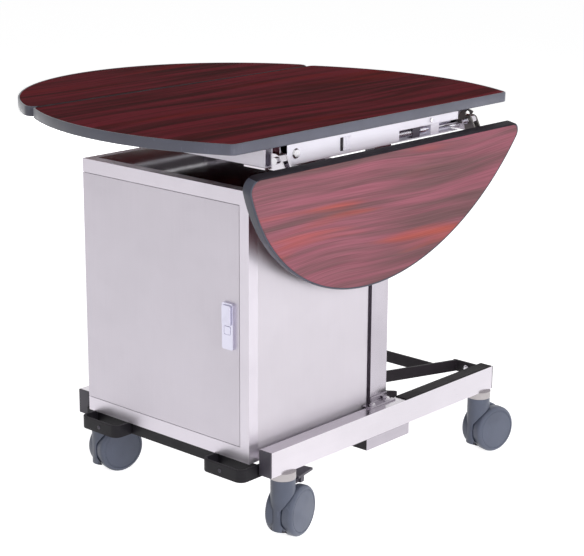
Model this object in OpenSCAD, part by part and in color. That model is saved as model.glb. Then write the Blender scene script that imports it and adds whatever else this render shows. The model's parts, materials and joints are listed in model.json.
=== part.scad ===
// Room service table: a three-piece oval top with two drop leaves, carried by
// a pair of posts on a wheeled base, with a hinged-door cabinet under one end.
// Millimetres. Origin on the floor below the middle of the centre panel.
// +X points to the leaf that hangs down, -Y to the cabinet door, +Z up.

/* [Table top] */
// Height of the upper face above the floor
table_h = 778; // [760:1:820]
// Thickness of the three boards
top_t = 20; // [16:1:24]
// Width of the centre panel, from fold to fold
centre_w = 536; // [520:2:580]
// Length of a fold edge, between the panel's sharp corners
fold_l = 802; // [760:2:860]
// Rise of the centre panel's curved ends
end_rise = 68; // [50:1:100]
// Depth of a leaf, from fold to rim
leaf_d = 282; // [250:2:290]
// Length of a leaf at the fold, between its sharp corners
leaf_l = 816; // [770:2:860]
// Corner radius of the centre panel
panel_corner_r = 16; // [15:1:40]
// Corner radius of a leaf
leaf_corner_r = 22; // [20:1:45]
// Gap between the centre panel and a raised leaf
fold_gap = 1; // [1:0.5:3]
// Thickness of the soft edging round each board
edging_t = 4; // [3:0.5:8]
// Depth of the edging's tongue in its groove
tongue_d = 9; // [6:1:12]
// Thickness of that tongue
tongue_t = 2.4; // [1.5:0.1:4]

/* [Leaf hinges] */
// Depth of the fold axis below the upper face
pivot_drop = 44; // [44:1:52]
// Distance of the fold axis inside the centre panel's edge
pivot_in = 3.5; // [2:0.5:6]
// Angle that a leaf turns between raised and hanging
fold_angle = 101.5; // [98:0.5:103]
// Distance of each hinge from the middle, along the fold
hinge_y = 282; // [270:1:292]
// Thickness of the fixed ear in the middle of a hinge
ear_t = 12; // [8:1:16]
// Thickness of a leaf bracket's lugs
lug_t = 4; // [3:0.5:5]
// Radius of ear and lugs round the bolt
lug_r = 11; // [9:0.5:12]
// Radius of the quadrant that the lock enters
quadrant_r = 23.5; // [22:0.5:25]
// Diameter of the hinge bolts
hinge_bolt_d = 8; // [6:0.5:9]
// Distance that a leaf bracket's web reaches under the leaf
web_l = 68; // [40:2:90]

/* [Top frame] */
// Height of the frame tubes
frame_h = 40; // [34:1:44]
// Width of the frame tubes
frame_w = 20; // [16:1:22]
// Wall of the frame tubes
frame_wall = 2; // [1.5:0.5:3]
// Distance of a side rail's outer face inside the fold axis
side_in = 4.5; // [3:0.5:8]
// Half length of the side rails towards the door
side_front = 258; // [220:1:262]
// Place where the full side rail ends and the lock starts
side_full_end = 60; // [40:1:80]
// Place where the lock's shelf ends
side_shelf_end = 247; // [225:1:252]
// Height of that shelf
shelf_band_h = 18; // [14:1:20]
// Half spacing of the two lengthwise runners
runner_x = 160; // [100:5:190]

/* [Leaf locks] */
// Diameter of a lock bolt
lock_bolt_d = 10; // [8:0.5:11]
// Travel of a lock bolt
lock_travel = 10; // [8:0.5:12]
// Distance of the lock bolt inside the fold axis
lock_in = 14.5; // [13.5:0.5:15.5]
// Distance of the lock bolt below the fold axis
lock_below = 3.5; // [2:0.5:5]
// Diameter of the knob and of the spring seat
knob_d = 14; // [13:0.5:15]
// Length of the knob
knob_l = 16; // [12:1:20]
// Wire of the return spring
spring_wire = 1.6; // [1.3:0.1:1.8]
// Curls of the return spring
spring_curls = 8; // [6:1:10]
// Length of the return spring with the bolt drawn back
spring_l = 40; // [34:1:42]

/* [Posts] */
// Width of a post across the table
post_w = 25; // [20:1:30]
// Depth of a post along the table
post_d = 50; // [40:1:60]
// Front face of the posts
post_y = 26; // [24:1:40]
// Gap between a post and the base rail beside it
post_gap = 9.5; // [6:0.5:14]
// Wall of the posts
post_wall = 2; // [1.5:0.5:3]
// Height of the leaf buffers on the posts
buffer_z = 470; // [462:2:500]
// Diameter of the leaf buffers
buffer_d = 24; // [16:1:30]

/* [Base] */
// Overall width of the base rails
base_w = 535; // [525:1:550]
// Height of the base rails
rail_h = 50; // [40:1:55]
// Width of the base rails
rail_w = 30; // [26:1:34]
// Wall of the base rails
rail_wall = 2; // [1.5:0.5:3]
// Underside of the base rails above the floor
rail_z = 138; // [132:1:150]
// Front end of the base rails
rail_front = -305; // [-320:1:-300]
// Rear end of the base rails
rail_rear = 388; // [375:1:400]
// Thickness of the rails' end caps
cap_t = 3; // [2:0.5:5]
// Height of the flat bars of strap and braces
bar_h = 25; // [20:1:28]
// Thickness of those flat bars
bar_t = 6; // [4:0.5:8]
// Distance that the strap's loops reach in front of the rails
loop_reach = 50; // [40:1:90]
// Width of the strap's loops
loop_w = 100; // [70:1:120]
// Distance of the far loop inside its rail
far_loop_in = 27; // [10:1:40]
// Depth of the cross channel
channel_d = 133; // [124:1:150]
// Front edge of the cross channel
channel_y = -30; // [-35:1:-20]
// Height of the cross channel
channel_h = 24; // [18:1:30]
// Sheet of the cross channel
channel_t = 3; // [2:0.5:4]
// Half spacing of the rear braces at their wide end
brace_wide_x = 182; // [160:2:200]
// Half spacing of the rear braces at their narrow end
brace_narrow_x = 80; // [50:2:110]
// Place of the tie bar between the rear braces
tie_y = 318; // [280:2:340]

/* [Cabinet] */
// Width of the cabinet
cab_w = 446; // [420:2:448]
// Depth of the cabinet
cab_d = 339; // [300:1:341]
// Height of the cabinet
cab_h = 517; // [480:1:535]
// Front face of the cabinet
cab_front = -319; // [-330:1:-317]
// Thickness of the insulated walls
wall_t = 18; // [14:1:22]
// Sheet of walls and door
sheet_t = 1.2; // [1:0.1:1.6]
// Height of the strip above the door
header_h = 27; // [24:1:34]
// Height of the strip below the door
sill_h = 28; // [24:1:34]
// Width of the strip beside the door
stile_w = 23; // [22:1:30]
// Sheet of the front frame
front_sheet = 2; // [1.5:0.5:2.5]
// Number of shelves
shelf_count = 2; // [1:1:3]
// Height of a shelf's rim
shelf_rim = 12; // [8:1:20]

/* [Door] */
// Thickness of the door
door_t = 18; // [16:1:20]
// Gap round the door
door_gap = 1; // [1:0.5:2]
// Distance of the hinge pins from the door's edge
pin_in = 10; // [8:0.5:11]
// Diameter of the hinge pins
pin_d = 6; // [4:0.5:7]
// Width of the door gasket
gasket_w = 9; // [6:0.5:9]
// Width of the lock plate
plate_w = 28; // [24:1:34]
// Height of the lock plate
plate_h = 89; // [80:1:120]
// Thickness of the lock plate
plate_t = 6; // [4:0.5:8]
// Distance of the lock plate's middle from the stile
plate_in = 26; // [25:0.5:28.5]
// Distance of the lock plate's lower edge above the sill
plate_up = 187; // [120:1:200]
// Width of the lever
lever_w = 22; // [16:1:24]
// Reach of the cam behind the stile
cam_l = 30; // [28.5:0.5:31]
// Width across the square push button
button_d = 15; // [12:0.5:17]
// Travel of the push button
button_travel = 3; // [2:0.5:4]

/* [Casters] */
// Diameter of the wheels
wheel_d = 100; // [90:1:104]
// Width of one wheel of a pair
wheel_w = 23; // [18:1:26]
// Half width of the web between two wheels
web_half = 7; // [5:0.5:9]
// Distance of the axle behind the swivel axis
trail = 28; // [26:1:42]
// Diameter of a caster's barrel
barrel_d = 48; // [44:1:50]
// Diameter of the chrome collar above it
collar_d = 50; // [46:1:54]
// Height of the chrome collar
collar_h = 15; // [10:1:18]
// Diameter of the stems
stem_d = 12; // [10:0.5:14]
// Depth of a stem in its barrel
stem_in = 26; // [22:1:38]
// Diameter of the axles
axle_d = 10; // [8:0.5:12]
// Distance of the swivel axes from the rails' ends
caster_in = 47; // [40:1:60]
// Distance of the rear swivel axes from the rails' rear ends
caster_in_rear = 25; // [25:1:40]
// Angle that the front casters point inwards, at rest
front_turn = 12; // [-20:1:20]
// Angle that the rear casters point inwards, at rest
rear_turn = -12; // [-20:1:20]
// Width of the brake pedals
pedal_w = 38; // [32:1:44]
// Length of the brake pedals
pedal_l = 54; // [45:1:60]

/* [Hidden] */
$fn = 48;

// Clearances
run = 0.3;             // between flat faces that slide past each other
bore_clear = 0.05;     // radial, round shafts that turn or slide
bolt_clear = 0.5;      // radial, round bolts that pass through sheet
eps = 1;               // overshoot of cutting shapes

// Heights and places that follow from the sizes above
under = table_h - top_t;                    // underside of the boards
frame_z = under - frame_h;                  // underside of the top frame
half_w = centre_w / 2;
leaf_x = half_w + fold_gap;                 // inner edge of a raised leaf
pivot = [half_w - pivot_in, table_h - pivot_drop];     // x and z of a fold axis
side_x = pivot[0] - side_in;                // outer face of a side rail
rail_in = base_w / 2 - rail_w;              // inner face of a base rail
rail_top = rail_z + rail_h;
cab_z = rail_z + 20;                        // underside of the cabinet
cab_top = cab_z + cab_h;
cab_back = cab_front + cab_d;
post_x = rail_in - post_gap;                // outer face of a post
bar_z = cab_z - bar_h;                      // underside of the front strap

function arc(c, r, a0, a1, n) =
    [for (i = [0:n]) c + r * [cos(a0 + (a1 - a0) * i / n), sin(a0 + (a1 - a0) * i / n)]];
// Turns an offset in the x-z plane about +Y by an angle
function turned(v, a) = [v[0] * cos(a) + v[1] * sin(a), v[1] * cos(a) - v[0] * sin(a)];

module block(x, y, z) {
    translate([x[0], y[0], z[0]])
        cube([x[1] - x[0], y[1] - y[0], z[1] - z[0]]);
}

// Bar of rectangular tube along one axis: 0 for X, 1 for Y, 2 for Z
module tube_bar(x, y, z, wall, along) {
    grow = [for (i = [0:2]) i == along ? eps : -wall];
    difference() {
        block(x, y, z);
        block([x[0] - grow[0], x[1] + grow[0]], [y[0] - grow[1], y[1] + grow[1]], [z[0] - grow[2], z[1] + grow[2]]);
    }
}

// Slab whose outline lies in the x-z plane
module slab_xz(points, y0, y1) {
    translate([0, y1, 0])
        rotate([90, 0, 0])
            linear_extrude(y1 - y0)
                polygon(points);
}

// Rod along X, Y or Z, from one place to another
module rod_x(y, z, r, x0, x1) {
    translate([x0, y, z])
        rotate([0, 90, 0])
            cylinder(r = r, h = x1 - x0);
}

module rod_y(x, z, r, y0, y1) {
    translate([x, y1, z])
        rotate([90, 0, 0])
            cylinder(r = r, h = y1 - y0);
}

module rod_z(x, y, r, z0, z1) {
    translate([x, y, z0])
        cylinder(r = r, h = z1 - z0);
}

module both_sides() {
    children();
    mirror([1, 0, 0]) children();
}

module both_ends() {
    children();
    mirror([0, 1, 0]) children();
}

// Carries a leaf's pieces from raised to hanging
module folded() {
    translate([pivot[0], 0, pivot[1]])
        rotate([0, fold_angle, 0])
            translate([-pivot[0], 0, -pivot[1]])
                children();
}

// ---------------------------------------------------------------- table top
end_r = (half_w * half_w + end_rise * end_rise) / (2 * end_rise);
end_yc = fold_l / 2 + end_rise - end_r;
panel_fx = half_w - panel_corner_r;
panel_fy = end_yc + sqrt(pow(end_r - panel_corner_r, 2) - pow(panel_fx, 2));
panel_a = atan2(panel_fy - end_yc, panel_fx);
leaf_r = (leaf_l * leaf_l / 4 + leaf_d * leaf_d) / (2 * leaf_d);
leaf_xc = leaf_x + leaf_d - leaf_r;
leaf_fx = leaf_x + leaf_corner_r;
leaf_fy = sqrt(pow(leaf_r - leaf_corner_r, 2) - pow(leaf_fx - leaf_xc, 2));
leaf_a = atan2(leaf_fy, leaf_fx - leaf_xc);

// Outline of the centre panel, drawn in by an inset all round
function panel_outline(inset) = concat(
    arc([panel_fx, panel_fy], panel_corner_r - inset, 0, panel_a, 8),
    arc([0, end_yc], end_r - inset, panel_a, 180 - panel_a, 32),
    arc([-panel_fx, panel_fy], panel_corner_r - inset, 180 - panel_a, 180, 8),
    arc([-panel_fx, -panel_fy], panel_corner_r - inset, 180, 180 + panel_a, 8),
    arc([0, -end_yc], end_r - inset, 180 + panel_a, 360 - panel_a, 32),
    arc([panel_fx, -panel_fy], panel_corner_r - inset, 360 - panel_a, 360, 8)
);

// Outline of a raised leaf on the +X side
function leaf_outline(inset) = concat(
    arc([leaf_xc, 0], leaf_r - inset, -leaf_a, leaf_a, 64),
    arc([leaf_fx, leaf_fy], leaf_corner_r - inset, leaf_a, 180, 10),
    arc([leaf_fx, -leaf_fy], leaf_corner_r - inset, 180, 360 - leaf_a, 10)
);

// Ring between two insets of one outline, at a height
module ring(outer, inner, z0, h) {
    translate([0, 0, z0])
        linear_extrude(h)
            difference() {
                polygon(outer);
                polygon(inner);
            }
}

// Board with the groove for its edging's tongue
module board(outline_in, outline_groove) {
    groove_z = under + (top_t - tongue_t) / 2;
    difference() {
        translate([0, 0, under]) linear_extrude(top_t) polygon(outline_in);
        ring(outline_in, outline_groove, groove_z, tongue_t);
    }
}

// Soft edging with its tongue
module edging(outline_out, outline_in, outline_groove) {
    groove_z = under + (top_t - tongue_t) / 2;
    ring(outline_out, outline_in, under, top_t);
    ring(outline_in, outline_groove, groove_z, tongue_t);
}

groove_in = edging_t + tongue_d;

module leaf_board() {
    color("brown") board(leaf_outline(edging_t), leaf_outline(groove_in));
}

module leaf_edging() {
    color("slategray") edging(leaf_outline(0), leaf_outline(edging_t), leaf_outline(groove_in));
}

module centre_top() {
    color("brown") board(panel_outline(edging_t), panel_outline(groove_in));
}

module centre_edging() {
    color("slategray") edging(panel_outline(0), panel_outline(edging_t), panel_outline(groove_in));
}

module near_leaf_top() {
    folded() leaf_board();
}

module near_leaf_edging() {
    folded() leaf_edging();
}

module far_leaf_top() {
    mirror([1, 0, 0]) leaf_board();
}

module far_leaf_edging() {
    mirror([1, 0, 0]) leaf_edging();
}

// ---------------------------------------------------------------- leaf hinges
cross_out = hinge_y + ear_t / 2 + 9;        // outer face of a cross rail
cross_in = cross_out - frame_w;
cross_end = pivot[0] - quadrant_r + 1;      // end of a cross rail
lug_out = hinge_y + ear_t / 2 + run;        // inner face of the outer lug
lug_in = hinge_y - ear_t / 2 - run;         // outer face of the inner lug
ear_plate_t = 4;
ear_plate_l = 52;
bolt_r = hinge_bolt_d / 2;
head_r = hinge_bolt_d * 0.85;
head_h = 5;

// Fixed ear round the fold axis, with the plate that ties it below the cross rail
module hinge_ear() {
    low = frame_z - ear_plate_t;
    difference() {
        union() {
            slab_xz(concat(
                [[cross_end, pivot[1] + lug_r]],
                arc(pivot, lug_r, 90, -60, 12),
                [[pivot[0] - 6, low], [cross_end, low]]
            ), hinge_y - ear_t / 2, hinge_y + ear_t / 2);
            block([cross_end - ear_plate_l, cross_end], [cross_in, cross_out], [low, frame_z]);
        }
        rod_y(pivot[0], pivot[1], bolt_r + bore_clear, 0, cross_out + eps);
    }
}

module hinge_ears() {
    color("silver") both_sides() both_ends() hinge_ear();
}

// Bolt with a domed head outside and a nut inside
module hinge_bolt() {
    rod_y(pivot[0], pivot[1], bolt_r, lug_in - lug_t - run - head_h, lug_out + lug_t + run + 1);
    rod_y(pivot[0], pivot[1], head_r, lug_out + lug_t + run, lug_out + lug_t + run + head_h);
    translate([pivot[0], lug_in - lug_t - run, pivot[1]])
        rotate([90, 0, 0])
            cylinder(r = head_r, h = head_h, $fn = 6);
}

lock_at = [pivot[0] - lock_in, pivot[1] - lock_below];          // x and z of a lock bolt
lock_hang = pivot + turned(lock_at - pivot, -fold_angle);      // its hole for the hanging leaf

// Outline of one lug with its arm under the leaf
function lug_outline() = concat(
    [[leaf_x + 8 + web_l, under], [leaf_x + 8, under]],
    arc(pivot, lug_r, 120, 270, 12),
    [[pivot[0] + 36, under - 17], [leaf_x + 8 + web_l, under - 8]]
);

module lug(y0) {
    slab_xz(lug_outline(), y0, y0 + lug_t);
}

// Quadrant that carries the two lock holes
module quadrant(y0) {
    slab_xz(concat([pivot], arc(pivot, quadrant_r, 160, 305, 16)), y0, y0 + lug_t);
}

// Leaf bracket on the +Y half; the one by the lock has the quadrant
module leaf_bracket(with_quadrant) {
    y_in = lug_in - lug_t;
    difference() {
        union() {
            lug(y_in);
            lug(lug_out);
            block([leaf_x + 8, leaf_x + 8 + web_l], [y_in, lug_out + lug_t], [under - 3, under]);
            if (with_quadrant) quadrant(y_in);
        }
        rod_y(pivot[0], pivot[1], bolt_r + bore_clear, y_in - eps, cross_out + eps);
        if (with_quadrant) {
            rod_y(lock_at[0], lock_at[1], lock_bolt_d / 2 + bolt_clear, y_in - eps, lug_in + eps);
            rod_y(lock_hang[0], lock_hang[1], lock_bolt_d / 2 + bolt_clear, y_in - eps, lug_in + eps);
        }
    }
}

module leaf_brackets() {
    color("silver") {
        leaf_bracket(true);
        mirror([0, 1, 0]) leaf_bracket(false);
    }
}

// Pan-head screws through the webs, two to a bracket
module leaf_screws() {
    color("gainsboro") both_ends() for (x = [leaf_x + 26, leaf_x + web_l - 6])
        rod_z(x, hinge_y, 4, under - 5.5, under - 3);
}

module near_leaf_brackets() {
    folded() leaf_brackets();
}

module near_leaf_screws() {
    folded() leaf_screws();
}

module far_leaf_brackets() {
    mirror([1, 0, 0]) leaf_brackets();
}

module far_leaf_screws() {
    mirror([1, 0, 0]) leaf_screws();
}

// ---------------------------------------------------------------- top frame
shelf_z = under - shelf_band_h;             // underside of the lock's shelf

module cross_rails() {
    color("whitesmoke") both_ends()
        tube_bar([-cross_end, cross_end], [cross_in, cross_out], [frame_z, under], frame_wall, 0);
}

// Side rail: full tube, then a shelf tube over an open-sided channel for the lock
module side_rails() {
    x = [side_x - frame_w, side_x];
    color("whitesmoke") both_sides() {
        tube_bar(x, [-side_front, side_full_end], [frame_z, under], frame_wall, 1);
        tube_bar(x, [side_full_end, side_shelf_end], [shelf_z, under], frame_wall, 1);
        block([x[0], x[0] + frame_wall], [side_full_end, side_shelf_end], [frame_z, shelf_z]);
        block([x[0] + frame_wall, x[1]], [side_full_end, side_shelf_end], [frame_z, frame_z + frame_wall]);
    }
}

module head_beam() {
    x = side_x - frame_w;
    color("whitesmoke")
        tube_bar([-x, x], [post_y, post_y + post_d], [frame_z, under], frame_wall, 0);
}

module frame_runners() {
    x = [runner_x - frame_w / 2, runner_x + frame_w / 2];
    color("whitesmoke") both_sides() {
        tube_bar(x, [-cross_in, post_y], [frame_z, under], frame_wall, 1);
        tube_bar(x, [post_y + post_d, cross_in], [frame_z, under], frame_wall, 1);
    }
}

// Ribbed clip on the outer face of each side rail
module rail_clips() {
    clip_y = -114;
    clip_w = 31;
    clip_h = 25;
    z = [frame_z + (frame_h - clip_h) / 2, under - (frame_h - clip_h) / 2];
    color("lightgray") both_sides() {
        block([side_x, side_x + 1.5], [clip_y, clip_y + clip_w], z);
        for (i = [1:3])
            block([side_x + 1.5, side_x + 2.5], [clip_y + i * 8 - 1, clip_y + i * 8 + 3], z);
    }
}

// Hinge bolts, and the domed screws at the side rails' front ends and on their lock shelves
module frame_bolts() {
    big_r = 10;
    big_h = 3;
    color("gainsboro") both_sides() {
        both_ends() hinge_bolt();
        translate([side_x, -side_front + 23, frame_z + frame_h / 2])
            rotate([0, 90, 0])
                cylinder(r1 = big_r, r2 = big_r - 2.5, h = big_h);
        rod_x(side_full_end + 98, (shelf_z + under) / 2, 4.5, side_x, side_x + 2.5);
    }
}

// ---------------------------------------------------------------- leaf locks
guide_y = side_full_end + 45;               // first guide block
guide_t = 22;
end_guide_y = guide_y + 57;                 // second guide block
end_guide_t = 26;
spring_y = guide_y - spring_l;              // seat of the spring on the bolt
seat_t = 3;
lock_tip = lug_in - lock_travel;            // bolt's end when drawn back
knob_y = guide_y + guide_t + 4;
spring_r = lock_bolt_d / 2 + 0.2 + spring_wire;
guide_x = [side_x - frame_w + frame_wall, lock_at[0] + knob_d / 2];

module lock_guide(y0, t) {
    difference() {
        block(guide_x, [y0, y0 + t], [frame_z + frame_wall, shelf_z]);
        rod_y(lock_at[0], lock_at[1], lock_bolt_d / 2 + bore_clear, y0 - eps, y0 + t + eps);
    }
}

module lock_guides() {
    color("dimgray") both_sides() {
        lock_guide(guide_y, guide_t);
        lock_guide(end_guide_y, end_guide_t);
    }
}

// Sliding bolt with its spring seat and a tapered tip
module lock_bolt() {
    taper = 3;
    rod_y(lock_at[0], lock_at[1], lock_bolt_d / 2, spring_y - seat_t, lock_tip - taper);
    rod_y(lock_at[0], lock_at[1], knob_d / 2, spring_y - seat_t, spring_y);
    translate([lock_at[0], lock_tip - taper, lock_at[1]])
        rotate([-90, 0, 0])
            cylinder(r1 = lock_bolt_d / 2, r2 = lock_bolt_d / 2 - 1.5, h = taper);
}

module lock_knob() {
    grooves = 3;
    difference() {
        rod_y(lock_at[0], lock_at[1], knob_d / 2, knob_y, knob_y + knob_l);
        rod_y(lock_at[0], lock_at[1], lock_bolt_d / 2 + bore_clear, knob_y - eps, knob_y + knob_l + eps);
        for (i = [1:grooves])
            translate([lock_at[0], knob_y + i * knob_l / (grooves + 1) + 0.6, lock_at[1]])
                rotate([90, 0, 0])
                    difference() {
                        cylinder(r = knob_d / 2 + eps, h = 1.2);
                        cylinder(r = knob_d / 2 - 0.6, h = 1.2);
                    }
    }
}

// Return spring: one unbroken wire wound round the bolt
curl_rings = 8;
wire_sides = 6;
spring_steps = spring_curls * curl_rings;
wire_r = spring_wire / 2;
spring_pitch = (spring_l - spring_wire) / spring_curls;

function curl_point(i) =
    let (a = 360 * i / curl_rings)
    [spring_r * cos(a), wire_r + spring_pitch * i / curl_rings, spring_r * sin(a)];
function curl_ring(i) =
    let (a = 360 * i / curl_rings, c = curl_point(i))
    [for (k = [0:wire_sides - 1])
        let (b = 360 * k / wire_sides)
        c + wire_r * [cos(b) * cos(a), sin(b), cos(b) * sin(a)]];

spring_points = [for (i = [0:spring_steps]) for (p = curl_ring(i)) p];
spring_last = spring_steps * wire_sides;
spring_faces = concat(
    [for (k = [1:wire_sides - 2]) [0, k, k + 1]],
    [for (k = [1:wire_sides - 2]) [spring_last, spring_last + k + 1, spring_last + k]],
    [for (i = [0:spring_steps - 1]) for (k = [0:wire_sides - 1])
        let (a = i * wire_sides + k, b = i * wire_sides + (k + 1) % wire_sides)
        [a, a + wire_sides, b]],
    [for (i = [0:spring_steps - 1]) for (k = [0:wire_sides - 1])
        let (a = i * wire_sides + k, b = i * wire_sides + (k + 1) % wire_sides)
        [b, a + wire_sides, b + wire_sides]]
);
// Least distance between the surfaces of wires one curl or more apart
spring_gap = min([for (i = [0:curl_rings - 1]) for (j = [i + curl_rings - 1:i + curl_rings + 1])
    norm(curl_point(j) - curl_point(i))]) - spring_wire;
echo(spring_least_gap = spring_gap);

module lock_spring() {
    translate([lock_at[0], spring_y, lock_at[1]])
        polyhedron(points = spring_points, faces = spring_faces);
}

module near_lock_bolt() {
    color("gainsboro") lock_bolt();
}

module near_lock_knob() {
    color("white") lock_knob();
}

module near_lock_spring() {
    color("silver") lock_spring();
}

module far_lock_bolt() {
    color("gainsboro") mirror([1, 0, 0]) lock_bolt();
}

module far_lock_knob() {
    color("white") mirror([1, 0, 0]) lock_knob();
}

module far_lock_spring() {
    color("silver") mirror([1, 0, 0]) lock_spring();
}

// ---------------------------------------------------------------- posts
post_xr = [post_x - post_w, post_x];
post_yr = [post_y, post_y + post_d];
foot_t = 3;
foot_rise = 14;
foot_w = 21.5;
foot_yr = [post_yr[0] - 24, post_yr[1] + 4];

module posts() {
    color("silver") both_sides()
        tube_bar(post_xr, post_yr, [rail_z, frame_z], post_wall, 2);
}

// Angle that ties a post's outer face to the top of the rail
module post_feet() {
    color("silver") both_sides() {
        block([post_x, post_x + foot_w], foot_yr, [rail_top, rail_top + foot_t]);
        block([post_x, post_x + foot_t], post_yr, [rail_top, rail_top + foot_rise]);
    }
}

// Dark gusset behind each post, with a sloping upper edge
gusset_l = 36;
module post_gussets() {
    y = [post_yr[1], post_yr[1] + gusset_l];
    z = rail_z;
    color("dimgray") both_sides()
        translate([post_x - bar_t, 0, 0])
            rotate([90, 0, 90])
                linear_extrude(bar_t)
                    polygon([[y[0], z], [channel_y + channel_d, z], [y[1], rail_top - bar_h], [y[1], rail_top + 5],
                        [y[0], rail_top + 15]]);
}

// Rubber buffer that a hanging leaf leans on
module leaf_buffers() {
    reach = 60;
    color("dimgray") both_sides()
        difference() {
            rod_x(post_y + post_d / 2, buffer_z, buffer_d / 2, post_x, pivot[0]);
            folded()
                block([leaf_x - reach, leaf_x + leaf_d + reach], [post_y - reach, post_y + post_d + reach],
                    [under - run, under + 200]);
        }
}

// ---------------------------------------------------------------- base
rail_xr = [rail_in, rail_in + rail_w];
rail_mid = rail_in + rail_w / 2;
front_caster_y = rail_front + caster_in;
rear_caster_y = rail_rear - caster_in_rear;

module base_rails() {
    color("whitesmoke") both_sides()
        difference() {
            tube_bar(rail_xr, [rail_front, rail_rear], [rail_z, rail_top], rail_wall, 1);
            for (y = [front_caster_y, rear_caster_y])
                rod_z(rail_mid, y, stem_d / 2 + bolt_clear, rail_z - eps, rail_z + rail_wall + eps);
        }
}

module rail_end_caps() {
    plug_l = 14;
    xi = [rail_xr[0] + rail_wall, rail_xr[1] - rail_wall];
    zi = [rail_z + rail_wall, rail_top - rail_wall];
    color("dimgray") both_sides() {
        block(rail_xr, [rail_front - cap_t, rail_front], [rail_z, rail_top]);
        block(xi, [rail_front, rail_front + plug_l], zi);
        block(rail_xr, [rail_rear, rail_rear + cap_t], [rail_z, rail_top]);
        block(xi, [rail_rear - plug_l, rail_rear], zi);
    }
}

// Dark rubber strip on the rear half of each rail
pad_t = 2;
module rail_pads() {
    color("black") both_sides()
        block([rail_xr[0] + 1, rail_xr[1] - 1], [post_yr[1] + gusset_l / 2, rail_rear - 2], [rail_top, rail_top + pad_t]);
}

// Flat-bar strap under the cabinet's front edge, with a loop at each side
loop_front = rail_front - loop_reach;
strap_y = cab_front + 6;
strap_z = [bar_z, cab_z];
strap_end = front_caster_y - collar_d / 2 - 1;      // rear end of the strap's arms along the rails

// Loop whose outer arm has its outer face at a distance from the middle
module strap_loop(out) {
    block([out - bar_t, out], [loop_front, strap_y], strap_z);
    block([out - bar_t - loop_w, out - bar_t], [loop_front, loop_front + bar_t], strap_z);
    block([out - bar_t - loop_w, out - loop_w], [loop_front + bar_t, strap_y], strap_z);
}

module front_strap() {
    color("dimgray") {
        block([-rail_in, rail_in], [strap_y, strap_y + bar_t], strap_z);
        both_sides() block([rail_in - bar_t, rail_in], [strap_y + bar_t, strap_end], strap_z);
        strap_loop(rail_in);
        mirror([1, 0, 0]) strap_loop(rail_in - far_loop_in);
    }
}

module cross_channel() {
    x = base_w / 2;
    y = [channel_y, channel_y + channel_d];
    z = [rail_z - channel_h, rail_z];
    color("gainsboro")
        difference() {
            block([-x, x], y, z);
            block([-x + channel_t, x - channel_t], [y[0] + channel_t, y[1] - channel_t], [z[0] - eps, z[1] - channel_t]);
        }
}

// Rear braces: two bars that spread from a foot behind the posts to the rails, with a tie
brace_rear = rail_rear - 12;
brace_foot = channel_y + channel_d - bar_t;
brace_y = [brace_foot + bar_t, brace_rear - bar_t];
brace_slope = (brace_wide_x - brace_narrow_x) / (brace_y[1] - brace_y[0]);
module rear_braces() {
    z = [rail_top - bar_h, rail_top];
    half = bar_t / 2 * sqrt(1 + brace_slope * brace_slope);
    tie_x = brace_wide_x - (brace_y[1] - tie_y) * brace_slope;
    color("dimgray") {
        block([-brace_narrow_x - 14, brace_narrow_x + 14], [brace_foot, brace_y[0]], [rail_z, rail_top]);
        block([-tie_x, tie_x], [tie_y - bar_t / 2, tie_y + bar_t / 2], z);
        both_sides() {
            translate([0, 0, z[0]])
                linear_extrude(bar_h)
                    polygon([
                        [brace_narrow_x - half, brace_y[0]], [brace_narrow_x + half, brace_y[0]],
                        [brace_wide_x + half, brace_y[1]], [brace_wide_x - half, brace_y[1]]
                    ]);
            block([brace_wide_x - bar_t, rail_in], [brace_y[1], brace_rear], z);
        }
    }
}

// Angles on the rails' inner faces that carry the cabinet
bearer_t = 3;
module cabinet_bearers() {
    y = [rail_front + 60, post_y - 6];
    color("dimgray") both_sides() {
        block([rail_in - 40, rail_in], y, [cab_z - bearer_t, cab_z]);
        block([rail_in - bearer_t, rail_in], y, [cab_z - bearer_t, cab_z + 14]);
    }
}

// Hexagon-head bolts of feet, gussets, strap and braces
module base_bolts() {
    hex_r = 6.5;
    hex_h = 5;
    small_r = 5;
    color("gainsboro") both_sides() {
        for (y = [post_yr[0] - 8, post_yr[1] - 14])
            translate([rail_in + 3, y, rail_top + foot_t])
                cylinder(r = hex_r, h = hex_h, $fn = 6);
        translate([post_x, post_yr[1] + 22, rail_top - 12])
            rotate([0, 90, 0])
                cylinder(r = hex_r, h = hex_h, $fn = 6);
        translate([post_x + foot_t, post_yr[1] - 10, rail_top + foot_t + small_r + 0.5])
            rotate([0, 90, 0])
                cylinder(r = small_r, h = 3, $fn = 6);
        translate([brace_wide_x + 30, brace_rear - bar_t, rail_top - bar_h / 2])
            rotate([90, 0, 0])
                cylinder(r = hex_r, h = hex_h, $fn = 6);
    }
    color("gainsboro")
        for (x = [rail_in - bar_t - loop_w / 2, far_loop_in + bar_t + loop_w / 2 - rail_in])
            translate([x, loop_front, cab_z - bar_h / 2])
                rotate([90, 0, 0])
                    cylinder(r = 4, h = 2.5);
}

// ---------------------------------------------------------------- cabinet
cab_x = cab_w / 2;
frame_depth = door_t + 6;
shell_front = cab_front + frame_depth;      // walls start behind the front frame
inner_x = cab_x - wall_t;
inner_back = cab_back - wall_t;
floor_top = cab_z + wall_t;
ceiling = cab_top - wall_t;
door_z = [cab_z + sill_h + door_gap, cab_top - header_h - door_gap];
stile_x = cab_x - stile_w;
door_x = [-cab_x, stile_x - door_gap];
door_back = cab_front + door_t;
pin_at = [-cab_x + pin_in, cab_front + door_t / 2];
lip_w = 10;
lip_t = 2;

// Hollow insulated panel, open along one hidden edge: 1 for its rear, 2 for its lower edge
module sandwich(x, y, z, open_edge) {
    difference() {
        block(x, y, z);
        block([x[0] + sheet_t, x[1] - sheet_t],
            [y[0] + sheet_t, open_edge == 1 ? y[1] + eps : y[1] - sheet_t],
            [open_edge == 2 ? z[0] - eps : z[0] + sheet_t, z[1] - sheet_t]);
    }
}

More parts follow.
